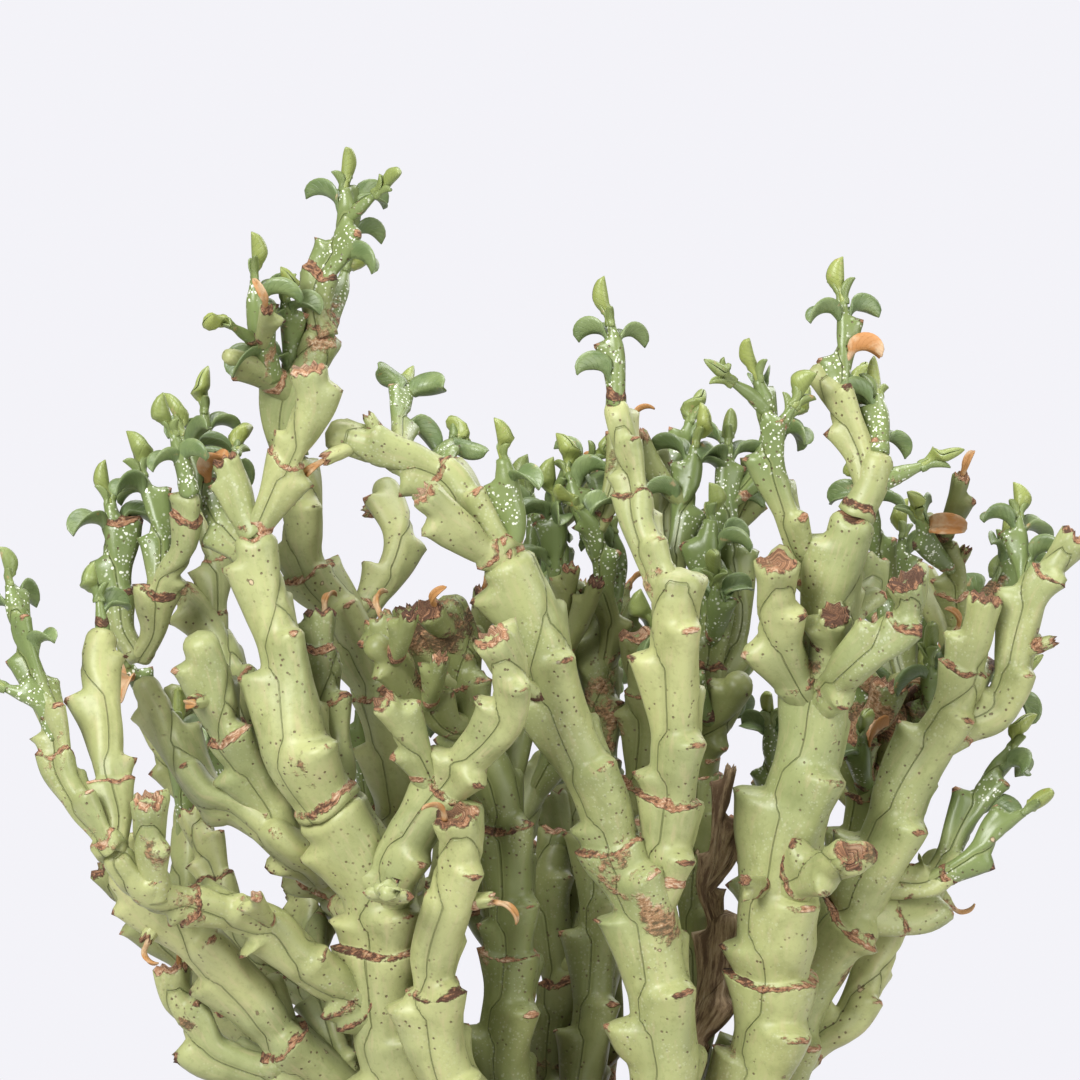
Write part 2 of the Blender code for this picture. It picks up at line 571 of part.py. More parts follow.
def from_picture(across, down, depth):
    """World points for picture pixels at depths behind the plant's middle plane."""
    pixel = PICTURE_SIDE / PICTURE_PIXELS
    spread = (CAMERA_DISTANCE + depth) / CAMERA_DISTANCE
    side = (across - PICTURE_PIXELS / 2) * pixel * spread
    rise = (PICTURE_PIXELS / 2 - down) * pixel * spread
    sine, cosine = math.sin(CAMERA_ELEVATION), math.cos(CAMERA_ELEVATION)
    return np.stack([side, depth * cosine + rise * sine,
                     PICTURE_CENTRE_HEIGHT + rise * cosine - depth * sine], axis=-1)


def to_picture(points):
    """The picture pixels and depths of world points."""
    pixel = PICTURE_SIDE / PICTURE_PIXELS
    sine, cosine = math.sin(CAMERA_ELEVATION), math.cos(CAMERA_ELEVATION)
    height = points[:, 2] - PICTURE_CENTRE_HEIGHT
    depth = points[:, 1] * cosine - height * sine
    rise = points[:, 1] * sine + height * cosine
    spread = (CAMERA_DISTANCE + depth) / CAMERA_DISTANCE
    return np.stack([points[:, 0] / pixel / spread + PICTURE_PIXELS / 2,
                     PICTURE_PIXELS / 2 - rise / pixel / spread, depth], axis=-1)


def arc_lengths(points):
    """Distances along a line of points."""
    steps = np.linalg.norm(np.diff(points, axis=0), axis=1)
    return np.concatenate([[0], np.cumsum(steps)])


def smooth_line(points, arcs_wanted=None, step=None):
    """Points on a smooth curve through the given ones, at given arcs or evenly spaced."""
    fine = []
    ends = np.vstack([2 * points[0] - points[1], points, 2 * points[-1] - points[-2]])
    for index in range(len(points) - 1):
        a, b, c, d = ends[index:index + 4]
        for t in np.linspace(0, 1, 8, endpoint=False):
            fine.append(0.5 * (2 * b + (c - a) * t + (2 * a - 5 * b + 4 * c - d) * t * t
                               + (3 * b - a - 3 * c + d) * t ** 3))
    fine = np.array([*fine, points[-1]])
    arcs = arc_lengths(fine)
    if arcs_wanted is None:
        arcs_wanted = np.linspace(0, arcs[-1], max(2, round(arcs[-1] / step) + 1))
    return np.stack([np.interp(arcs_wanted, arcs, fine[:, axis]) for axis in range(3)], axis=-1)


def far_tree(number, root_x, root_y, lean):
    """The stems of one far trunk, each as a Stem with its line in world points."""
    rng = np.random.default_rng(SEED * 100 + number)
    outward = math.atan2(root_y + 6, root_x)
    made = []

    def grow(parent, start, azimuth, tilt, length, width, leaves, joints):
        line = [start]
        pieces = 5
        for _ in range(pieces):
            tilt_now = math.radians(tilt)
            line.append(line[-1] + length / pieces * MM * np.array([
                math.sin(tilt_now) * math.cos(azimuth), math.sin(tilt_now) * math.sin(azimuth),
                math.cos(tilt_now)]))
            azimuth += rng.uniform(-0.3, 0.3)
            tilt = max(4, tilt + rng.uniform(-9, 7))
        line = np.array(line)
        made.append(Stem(parent, line, width, 0, joints, leaves))
        return len(made) - 1, line

    start = np.array([root_x * MM, root_y * MM, SOCKET_FLOOR])
    trunk, line = grow(ROOT, start, outward, lean, FAR_TRUNK_LENGTH * rng.uniform(0.85, 1.1),
                       (8, 9, 8.5), 0, (3,))
    for branch in range(2):
        turn = outward + (branch - 0.5) * 1.5 + rng.uniform(-0.3, 0.3)
        fork, limb = grow(trunk, line[-1 - branch], turn, lean * 0.7 + rng.uniform(0, 22),
                          FAR_BRANCH_LENGTH * rng.uniform(0.75, 1.1), (7.4, 7), 0, (2,))
        for shoot in range(2 - branch):
            aim = turn + (shoot - 0.5) * 1.3
            leaves = 3 if (branch + shoot) % 2 == 0 else 0
            grow(fork, limb[-1 - 2 * (shoot == 0)], aim, rng.uniform(8, 34),
                 FAR_SHOOT_LENGTH * rng.uniform(0.7, 1.2), (5, 4 if leaves else 5), leaves, ())
    return made


def lay_out():
    """All the trees, with each stem's links: picture pixels and depth, one row a link."""
    trees = {name: list(stems) for name, stems in NEAR_STEMS.items()}
    for name, stems in trees.items():
        placed = []
        for one in stems:
            route = np.array(one.route, dtype=float)
            if one.parent == ROOT:
                across, back = NEAR_ROOTS[name]
                start = to_picture(np.array([[across * MM, back * MM, SOCKET_FLOOR]]))[0]
            else:
                mother = placed[one.parent].links
                one.grows_from = int(np.argmin(np.hypot(*(mother[:, :2] - route[0]).T)))
                start = mother[one.grows_from]
                route = route[1:]
            route = np.vstack([start[:2], route])
            share = arc_lengths(route) / arc_lengths(route)[-1]
            depths = start[2] + (one.depth * MM - start[2]) * share
            route_3d = from_picture(route[:, 0], route[:, 1], depths)
            one.joint_arcs = tuple(arc_lengths(route_3d)[j] for j in one.joints)
            one.links = to_picture(smooth_line(route_3d, step=LINK))
            placed.append(one)
    for number, (root_x, root_y, lean) in enumerate(FAR_ROOTS, start=1):
        name = f"far_stem_{number}"
        trees[name] = far_tree(number, root_x, root_y, lean)
        for one in trees[name]:
            one.joint_arcs = tuple(arc_lengths(one.route)[j] for j in one.joints)
            one.links = to_picture(smooth_line(one.route, step=LINK))
            if one.parent != ROOT:
                mother = trees[name][one.parent].links
                one.grows_from = int(np.argmin(np.linalg.norm(
                    from_picture(*mother.T) - one.route[0], axis=1)))
    return trees


def width_at(one, share):
    """A stem's thickness, in metres, at a share of its length."""
    return MM * np.interp(share, np.linspace(0, 1, len(one.width)), one.width)


def bend_clear(trees):
    """Moves stems along the line of sight until they pass clear of each other.

    Each pair of stems keeps the order, near or far, in which it first meets. A push is spread
    along its stem, and branches move with the stem that they grow from. The result is a row of
    points along every stem, with its radius and its tree's number at each.
    """
    stems = [one for tree in trees.values() for one in tree]
    tree_of = [number for number, tree in enumerate(trees.values()) for _ in tree]
    count = 0
    for one in stems:
        one.offset = count
        count += len(one.links)
    links = np.vstack([one.links for one in stems])
    owner = np.concatenate([np.full(len(one.links), i) for i, one in enumerate(stems)])
    tree = np.array(tree_of)[owner]
    arc = np.concatenate([np.arange(len(one.links)) * LINK for one in stems])
    radius = np.concatenate([width_at(one, np.linspace(0, 1, len(one.links))) / 2 for one in stems])
    first_of_tree = np.cumsum([0] + [len(t) for t in trees.values()])
    mother = np.array([-1 if one.parent == ROOT else first_of_tree[tree_of[i]] + one.parent
                       for i, one in enumerate(stems)])
    trunk = mother[owner] < 0
    height = from_picture(*links.T)[:, 2]
    freedom = np.where(trunk, np.clip((height - STIFF_BELOW) / TRUNK_EASE, 0, 1),
                       np.clip(arc / BRANCH_EASE, 0, 1))

    same_tree = tree[:, None] == tree[None, :]
    near_root = arc < SIBLING_ZONE
    siblings = (mother[owner][:, None] == mother[owner][None, :]) & near_root[:, None] & near_root
    kin = np.eye(len(stems), dtype=bool)
    for index in range(len(stems)):
        if mother[index] >= 0:
            kin[index] |= kin[mother[index]]
    kin = (kin | kin.T)[owner][:, owner]
    allowed = ~kin & ~(same_tree & siblings)
    reach = radius[:, None] + radius[None, :] + CLEARANCE

    spread = np.exp(-0.5 * ((arc[:, None] - arc[None, :]) / PUSH_SPREAD) ** 2)
    spread *= owner[:, None] == owner[None, :]
    spread /= spread.sum(axis=1, keepdims=True)
    far = np.array(tree_of) >= len(NEAR_STEMS)
    order = far[:, None].astype(float) - far[None, :]
    for _ in range(CLEAR_ROUNDS):
        points = from_picture(*links.T)
        gap = points[:, None, :] - points[None, :, :]
        beside = gap[..., 0] ** 2 + gap[..., 2] ** 2
        need = np.sqrt(np.clip(reach ** 2 - beside, 0, None))
        first, second = np.nonzero(allowed & (need > np.abs(gap[..., 1])))
        votes = np.zeros_like(order)
        np.add.at(votes, (owner[first], owner[second]), gap[first, second, 1])
        order = np.where(order == 0, np.sign(votes), order)
        sign = order[owner[:, None], owner[None, :]]
        lack = np.where(allowed & (need > 0) & (sign != 0), need - sign * gap[..., 1], 0)
        lack = np.clip(lack, 0, LONGEST_PUSH) * sign
        push = lack.max(axis=1) + lack.min(axis=1)
        if not np.any(lack):
            break
        moved = PUSH_SHARE * (spread @ push) * freedom
        for index, one in enumerate(stems):
            if mother[index] >= 0:
                carried = moved[stems[mother[index]].offset + one.grows_from]
                moved[one.offset:one.offset + len(one.links)] += carried
        links[:, 2] = np.clip(links[:, 2] + moved, NEAREST, FARTHEST)
    for one in stems:
        one.links = links[one.offset:one.offset + len(one.links)]
    points = from_picture(*links.T)
    inner = owner[1:] == owner[:-1]
    between = (points[1:] + points[:-1])[inner] / 2
    return (np.vstack([points, between]), np.append(radius, radius[1:][inner]),
            np.append(tree, tree[1:][inner]))


def frames_along(points):
    """Unit vectors along a line of points and two across it, turned as little as can be."""
    along = np.gradient(points, axis=0)
    along /= np.linalg.norm(along, axis=1, keepdims=True)
    side = np.cross(along[0], (0, 1, 0))
    sides = []
    for direction in along:
        side = side - direction * np.dot(side, direction)
        side = side / np.linalg.norm(side)
        sides.append(side)
    sides = np.array(sides)
    return along, sides, np.cross(along, sides)


@dataclass
class Surroundings:
    """The other stems' links, and the leaf and tubercle points so far, to keep clear of."""

    points: np.ndarray
    radius: np.ndarray
    tree: np.ndarray

    def room(self, point, tree):
        """How far a point is from the nearest form of another tree."""
        others = self.tree != tree
        return (np.linalg.norm(self.points[others] - point, axis=1) - self.radius[others]).min()

    def claim(self, points, radius, tree):
        """Adds a leaf's or a tubercle's points to what later forms keep clear of."""
        self.points = np.vstack([self.points, points])
        self.radius = np.append(self.radius, [radius] * len(points))
        self.tree = np.append(self.tree, [tree] * len(points))


def ring_places(length, width, joints):
    """Where a stem's rings stand along it: evenly, with one moved to each joint."""
    gap = RING_GAP_BASE + RING_GAP_PER_WIDTH * width
    places = np.linspace(0, length, max(1, round(length / gap)) + 1)
    pinched = []
    for joint in joints:
        nearest = int(np.argmin(np.abs(places - joint)))
        if 0 < nearest < len(places) - 1:
            places[nearest] = joint
            pinched.append(nearest)
    return places, pinched


def leaf_rings(root, out, up, length, width):
    """Two four-cornered sections and the tip of a leaf that springs from root and curves down."""
    across = np.cross(up, out)
    stalk = root + out * 0.34 * length + up * 0.24 * length
    blade = root + out * 0.72 * length + up * 0.34 * length
    tip = root + out * 1.0 * length + up * 0.08 * length
    points = []
    for centre, half, thick, normal in (
            (stalk, 0.11 * length, 0.09 * length, 0.8 * up - 0.6 * out),
            (blade, 0.5 * width, 0.5 * LEAF_THICKNESS, 0.94 * up + 0.34 * out)):
        for side, level in ((-1, -1), (1, -1), (1, 1), (-1, 1)):
            points.append(centre + across * half * side + normal * thick * level)
    return [*points, tip]


class StemSolid:
    """The closed solid of one stem: rings with tubercles in ranks, and leaves on its last faces."""

    def __init__(self, one, tree, around, rng):
        self.one, self.tree, self.around, self.rng = one, tree, around, rng
        line = from_picture(*one.links.T)
        self.length = arc_lengths(line)[-1]
        self.sides = 6 if width_at(one, 0) >= THIN_STEM else 4
        self.places, self.pinched = ring_places(self.length, width_at(one, 0.5), one.joint_arcs)
        self.centres = smooth_line(line, arcs_wanted=self.places)
        self.along, self.side, self.across = frames_along(self.centres)
        self.points = []
        self.faces = {}
        self.extra = []
        self.rings()
        if one.leaves:
            self.leaves()

    def rings(self):
        """The tube's rings, its faces and its two end caps."""
        first_rank = self.rng.integers(0, TUBERCLE_TURN)
        last = len(self.places) - 1
        for index in range(last + 1):
            radius = width_at(self.one, self.places[index] / self.length) / 2
            if index in self.pinched:
                radius *= JOINT_PINCH
            if index == last:
                radius *= 0.62 if self.one.leaves else 1.06
            for corner in range(self.sides):
                self.points.append(self.corner(index, corner, radius, first_rank))
        for index in range(last):
            for corner in range(self.sides):
                turn = (corner + 1) % self.sides
                low, high = index * self.sides, (index + 1) * self.sides
                self.faces[index, corner] = (low + corner, low + turn, high + turn, high + corner)
        top = last * self.sides
        self.cap(list(range(self.sides))[::-1], self.centres[0])
        tip_rise = width_at(self.one, 1) * (0.3 if self.one.leaves else -0.05)
        if self.one.leaves:
            self.bud(list(range(top, top + self.sides)))
        else:
            self.cap(list(range(top, top + self.sides)), self.centres[-1] + self.along[-1] * tip_rise)

    def corner(self, index, corner, radius, first_rank):
        """One corner of a ring, raised where a tubercle stands.

        A rank carries a tubercle on every second ring, and the ranks are staggered along the
        stem so that the tubercles climb round it.
        """
        angle = math.tau * corner / self.sides
        out = math.cos(angle) * self.side[index] + math.sin(angle) * self.across[index]
        reach, lift = radius * (1.05 if corner % 2 == 0 else 0.95), 0
        free = 0 < index < len(self.places) - 1 and self.centres[index][2] > BARE_BELOW
        if corner % 2 == 0 and free:
            gap = self.places[1] - self.places[0]
            phase = TUBERCLE_TURN * (corner // 2) / (self.sides // 2)
            lift = (phase - round(phase)) * gap
            grown = self.rng.uniform(0.8, 1.3)
            if (index + first_rank - round(phase)) % TUBERCLE_TURN == 0:
                lift += TUBERCLE_LIFT * gap
                height = grown * (TUBERCLE_BASE + TUBERCLE_PER_WIDTH * 2 * radius)
                plain = self.centres[index] + out * reach + self.along[index] * lift
                aside = np.cross(self.along[index], out) * radius
                for share, rise, turn in TUBERCLE_PROBES:
                    probe = plain + out * share * height + aside * turn
                    probe += self.along[index] * rise * gap
                    lack = min(0, self.around.room(probe, self.tree) - SAFE_GAP)
                    height = max(0, height + lack / share)
                reach += height
                guards = [plain + out * share * height for share in (0.5, 1)]
                self.around.claim(guards, TIP_GUARD, self.tree)
        foot = self.centres[index] + self.along[index] * lift
        if self.centres[index][2] > STIFF_BELOW:
            room = self.around.room(foot + out * reach, self.tree)
            reach = max(LEAST_SHARE * reach, reach + min(0, room - SAFE_GAP))
        return foot + out * reach

    def cap(self, ring, centre):
        """A fan from a ring's corners to a point."""
        self.points.append(centre)
        middle = len(self.points) - 1
        for index, corner in enumerate(ring):
            self.extra.append((corner, ring[(index + 1) % len(ring)], middle))

    def tube(self, low, high):
        """Faces between two rings of as many corners."""
        for index in range(len(low)):
            turn = (index + 1) % len(low)
            self.extra.append((low[index], low[turn], high[turn], high[index]))

    def add(self, points):
        """Adds points and gives their numbers."""
        self.points += list(points)
        return list(range(len(self.points) - len(points), len(self.points)))

    def bud(self, ring):
        """The upright young leaf that ends a shoot."""
        centre, out = self.centres[-1], self.along[-1]
        half = 0.5 * LEAF_WIDTH * self.rng.uniform(0.6, 0.9)
        rise = LEAF_LENGTH * self.rng.uniform(0.75, 1.0)
        widest = []
        for corner in range(self.sides):
            angle = math.tau * corner / self.sides
            widest.append(centre + out * rise * 0.5 + self.side[-1] * half * math.cos(angle)
                          + self.across[-1] * 0.9 * LEAF_THICKNESS * math.sin(angle))
        tips = [centre + out * rise * share for share in (0.5, 0.95)]
        if min(self.around.room(p, self.tree) for p in tips) > half + SAFE_GAP:
            self.around.claim(tips, LEAF_WIDTH / 2, self.tree)
            widest = self.add(widest)
            self.tube(ring, widest)
            self.cap(widest, tips[1])
        else:
            self.cap(ring, centre)

    def leaves(self):
        """The recurved leaves below the bud, each on a face that has room in front of it."""
        for leaf in range(self.one.leaves - 1):
            index = len(self.places) - 2 - leaf // 2
            length = LEAF_LENGTH * self.rng.uniform(0.8, 1.1)
            width = LEAF_WIDTH * self.rng.uniform(0.85, 1.15)
            start = int(self.rng.integers(0, self.sides))
            for step in range(self.sides):
                corner = (start + step) % self.sides
                if (index, corner) in self.faces and self.grow_leaf(index, corner, length, width):
                    break

    def grow_leaf(self, index, corner, length, width):
        """Turns one face of the tube into a leaf, if nothing stands in its way."""
        ring = self.faces[index, corner]
        root = sum(self.points[number] for number in ring) / 4
        out = root - (self.centres[index] + self.centres[index + 1]) / 2
        up = self.along[index]
        out -= up * np.dot(out, up)
        out /= np.linalg.norm(out)
        tests = [root + out * share * length + up * 0.25 * length for share in (0.4, 0.75, 1.0)]
        if min(self.around.room(p, self.tree) for p in tests) < width / 2 + SAFE_GAP:
            return False
        self.around.claim(tests, LEAF_WIDTH / 2, self.tree)
        del self.faces[index, corner]
        numbers = self.add(leaf_rings(root, out, up, length, width))
        self.tube(ring, numbers[:4])
        self.tube(numbers[:4], numbers[4:8])
        for side in range(4):
            self.extra.append((numbers[4 + side], numbers[4 + (side + 1) % 4], numbers[8]))
        return True

    def socket(self):
        """The plain hole that a trunk stands in: its first rings, a little wider than it."""
        points = []
        for index in range(SOCKET_RINGS):
            drop = self.along[0] * FIT_GAP if index == 0 else 0
            for corner in range(self.sides):
                point = self.points[index * self.sides + corner]
                out = point - self.centres[index]
                points.append(point + out / np.linalg.norm(out) * SOCKET_GAP - drop)
        points += [self.centres[0] - self.along[0] * FIT_GAP, self.centres[SOCKET_RINGS - 1]]
        return points, tube_faces(SOCKET_RINGS, self.sides)

    def solid(self):
        """All points and faces."""
        return self.points, [*self.faces.values(), *self.extra]


def keep_outer_shell(mesh):
    """Drops what a union leaves apart from its largest shell: sealed hollows and scraps."""
    work = bmesh.new()
    work.from_mesh(mesh)
    left = set(work.faces)
    shells = []
    while left:
        shell, front = [], [left.pop()]
        while front:
            face = front.pop()
            shell.append(face)
            for edge in face.edges:
                for other in edge.link_faces:
                    if other in left and len(edge.link_faces) == 2:
                        left.remove(other)
                        front.append(other)
        shells.append(shell)
    shells.sort(key=len)
    scraps = [face for shell in shells[:-1] for face in shell]
    bmesh.ops.delete(work, geom=scraps, context="FACES")
    work.to_mesh(mesh)
    work.free()


def join(name, solids, collection, material):
    """One object that is the union of closed solids."""
    base = new_object(name, *solids[0], collection, material)
    repeats = new_collection(f"{name}_repeats")
    for number, (points, faces) in enumerate(solids[1:]):
        new_object(f"{name}_repeat_{number}", points, faces, repeats)
    fuse = base.modifiers.new("fuse", "BOOLEAN")
    fuse.operation = "UNION"
    fuse.operand_type = "COLLECTION"
    fuse.collection = repeats
    fuse.solver = "MANIFOLD"
    bake_modifiers(base)
    for item in list(repeats.objects):
        bpy.data.objects.remove(item, do_unlink=True)
    bpy.data.collections.remove(repeats)
    keep_outer_shell(base.data)
    shade(base, STEM_EDGE_ANGLE)
    return base


def main():
    """Builds the pot, the soil, the caudex and each stem."""
    clear_scene()
    parts = new_collection("potted_euphorbia_hamata")
    cutters = new_collection("cutters")
    clay = new_material("clay", (0.50, 0.22, 0.12), 0.85)
    earth = new_material("soil", (0.16, 0.11, 0.08), 0.95)
    bark = new_material("bark", (0.28, 0.21, 0.15), 0.9)
    green = new_material("green_stem", (0.36, 0.44, 0.22), 0.5)
    dead = new_material("dry_stem", (0.24, 0.13, 0.07), 0.85)
    make_pot(parts, cutters, clay)
    make_soil(parts, earth)
    caudex = make_caudex(parts, bark)

    trees = lay_out()
    around = Surroundings(*bend_clear(trees))
    seed = SEED
    for number, (name, stems) in enumerate(trees.items()):
        solids = []
        for one in stems:
            seed += 1
            solids.append(StemSolid(one, number, around, np.random.default_rng(seed)))
        join(name, [made.solid() for made in solids], parts, dead if name == "dry_stem" else green)
        socket = new_object(f"{name}_socket", *solids[0].socket(), cutters)
        as_cutter(socket)
        cut = caudex.modifiers.new(f"{name}_socket", "BOOLEAN")
        cut.operation = "DIFFERENCE"
        cut.solver = "EXACT"
        cut.object = socket
    shade(caudex, 50)


main()
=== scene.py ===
"""The looks of a potted Euphorbia hamata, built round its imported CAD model.

Each stem node is replaced by one fine mesh that grows along the same centre lines as the CAD
model's: tubercles in three ranks with seams between them, papery collars at the joints, ragged
cut tops, folded leaves and small late shoots. The pot and the soil keep their nodes and get
finishes, the crown gets a finer form, and small stones lie on the soil.
"""

from __future__ import annotations

import json  # noqa: E402
import logging  # noqa: E402
import math  # noqa: E402
from dataclasses import dataclass  # noqa: E402
from enum import Enum  # noqa: E402

import bmesh  # noqa: E402
import bpy  # noqa: E402
import numpy as np  # noqa: E402
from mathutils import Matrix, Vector  # noqa: E402

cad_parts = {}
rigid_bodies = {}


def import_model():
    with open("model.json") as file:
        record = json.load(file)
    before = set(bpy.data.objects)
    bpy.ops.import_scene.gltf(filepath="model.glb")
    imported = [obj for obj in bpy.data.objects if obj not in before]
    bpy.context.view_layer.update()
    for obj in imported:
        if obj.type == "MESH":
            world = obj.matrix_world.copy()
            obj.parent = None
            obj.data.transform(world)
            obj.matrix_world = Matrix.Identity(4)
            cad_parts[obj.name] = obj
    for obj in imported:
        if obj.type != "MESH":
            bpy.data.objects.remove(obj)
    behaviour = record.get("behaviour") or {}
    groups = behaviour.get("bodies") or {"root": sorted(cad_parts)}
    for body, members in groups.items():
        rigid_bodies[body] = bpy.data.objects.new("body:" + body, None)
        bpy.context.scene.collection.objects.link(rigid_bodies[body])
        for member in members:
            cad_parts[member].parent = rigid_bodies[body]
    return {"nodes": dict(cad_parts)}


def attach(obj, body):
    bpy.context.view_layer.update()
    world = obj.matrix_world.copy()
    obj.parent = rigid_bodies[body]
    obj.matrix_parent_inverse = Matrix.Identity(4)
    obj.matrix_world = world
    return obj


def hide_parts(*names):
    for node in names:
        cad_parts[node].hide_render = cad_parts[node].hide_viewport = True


Array = np.ndarray
Random = np.random.Generator
Material = bpy.types.Material
Pair = tuple[float, float]
Triple = tuple[float, float, float]

log = logging.getLogger("euphorbia")

MM = 0.001
ROOT = -1
SEED = 7


@dataclass(frozen=True)
class Picture:
    """The square picture that the near stems are read from."""

    pixels: int = 1080
    side: float = 240 * MM
    centre_height: float = 280 * MM
    distance: float = 1.30
    elevation: float = math.radians(3)

    @property
    def pixel(self) -> float:
        """The width of one pixel at the middle of the plant."""
        return self.side / self.pixels

    def to_world(self, across: Array, down: Array, depth: Array) -> Array:
        """Finds the world points of pixels.

        Args:
            across: Pixels from the left edge.
            down: Pixels from the top edge.
            depth: Metres behind the plant's middle plane.

        Returns:
            One point a row, in metres.
        """
        spread = (self.distance + depth) / self.distance
        side = (across - self.pixels / 2) * self.pixel * spread
        rise = (self.pixels / 2 - down) * self.pixel * spread
        sine, cosine = math.sin(self.elevation), math.cos(self.elevation)
        return np.stack([side, depth * cosine + rise * sine,
                         self.centre_height + rise * cosine - depth * sine], axis=-1)

    def from_world(self, points: Array) -> Array:
        """Finds the pixels and depths of world points.

        Args:
            points: One point a row, in metres.

        Returns:
            Pixels across, pixels down and depth in metres, one row a point.
        """
        sine, cosine = math.sin(self.elevation), math.cos(self.elevation)
        height = points[:, 2] - self.centre_height
        depth = points[:, 1] * cosine - height * sine
        rise = points[:, 1] * sine + height * cosine
        spread = (self.distance + depth) / self.distance
        return np.stack([points[:, 0] / self.pixel / spread + self.pixels / 2,
                         self.pixels / 2 - rise / self.pixel / spread, depth], axis=-1)


PICTURE = Picture()


@dataclass(frozen=True)
class Growth:
    """The sizes that rule how stems stand, keep clear and carry tubercles and leaves."""

    socket_floor: float = 119 * MM
    bare_below: float = 138 * MM
    link: float = 7 * MM
    thin_stem: float = 6.3 * MM
    ring_gap_base: float = 8 * MM
    ring_gap_per_width: float = 0.4
    tubercle_base: float = 2.2 * MM
    tubercle_per_width: float = 0.2
    tubercle_turn: int = 2
    tubercle_lift: float = 0.42
    tubercle_range: Pair = (0.8, 1.3)
    tip_guard: float = 1.8 * MM
    tubercle_probes: tuple[Triple, ...] = (
        (1, 0, 0), (0.5, -0.5, 0), (0.5, 0.3, 0), (0.5, 0, 0.45), (0.5, 0, -0.45))
    joint_pinch: float = 0.86
    end_radius: Pair = (0.62, 1.06)
    corner_reach: Pair = (1.05, 0.95)
    clearance: float = 2.1 * MM
    safe_gap: float = 1 * MM
    near_by: float = 14 * MM
    least_share: float = 0.65
    clear_rounds: int = 200
    longest_push: float = 9 * MM
    push_share: float = 0.6
    push_spread: float = 11 * MM
    stiff_below: float = 129 * MM
    trunk_ease: float = 20 * MM
    branch_ease: float = 14 * MM
    sibling_zone: float = 20 * MM
    nearest: float = -80 * MM
    farthest: float = 100 * MM
    leaf_length: float = 10.5 * MM
    leaf_width: float = 5.6 * MM
    leaf_lengths: Pair = (0.8, 1.1)
    leaf_widths: Pair = (0.85, 1.15)
    leaf_rise: float = 0.25
    bud_widths: Pair = (0.6, 0.9)
    bud_lengths: Pair = (0.75, 1.0)
    far_pieces: int = 5
    far_turn: float = 0.3
    far_bend: Pair = (-9, 7)
    far_upright: float = 4
    far_lean: float = 0.7
    far_tilts: tuple[Pair, Pair] = ((0, 22), (8, 34))
    far_spread: Pair = (1.5, 1.3)
    far_middle_mm: float = 6
    guard_spots: Pair = (0.5, 1)
    bud_probes: Pair = (0.5, 0.95)
    leaf_probes: Triple = (0.4, 0.75, 1.0)


GROWTH = Growth()


@dataclass
class Stem:
    """One stretch of stem, from its root on its parent, or in the crown, to its tip.

    The parent is a stem's number, or ROOT. The tip's depth and the widths are in mm. A near stem's
    route is in the picture's pixels, any other's in metres. Joints are numbers of the route's
    points, with the root as 0. The leaves' count includes the bud.
    """

    parent: int
    depth: float
    width: tuple[float, ...]
    route: tuple | Array
    joints: tuple[int, ...] = ()
    leaves: int = 0
    links: Array | None = None
    joint_arcs: tuple[float, ...] = ()
    offset: int = 0
    grows_from: int = -1

    def lay(self, route: Array, step: float) -> None:
        """Lays the stem along a route of points in metres, with its links a step apart."""
        self.joint_arcs = tuple(arc_lengths(route)[j] for j in self.joints)
        self.links = PICTURE.from_world(smooth_line(route, step=step))

    def width_at(self, share: float | Array) -> float | Array:
        """Gives the thickness in metres at a share of the stem's length, from 0 at its root."""
        return MM * np.interp(share, np.linspace(0, 1, len(self.width)), self.width)


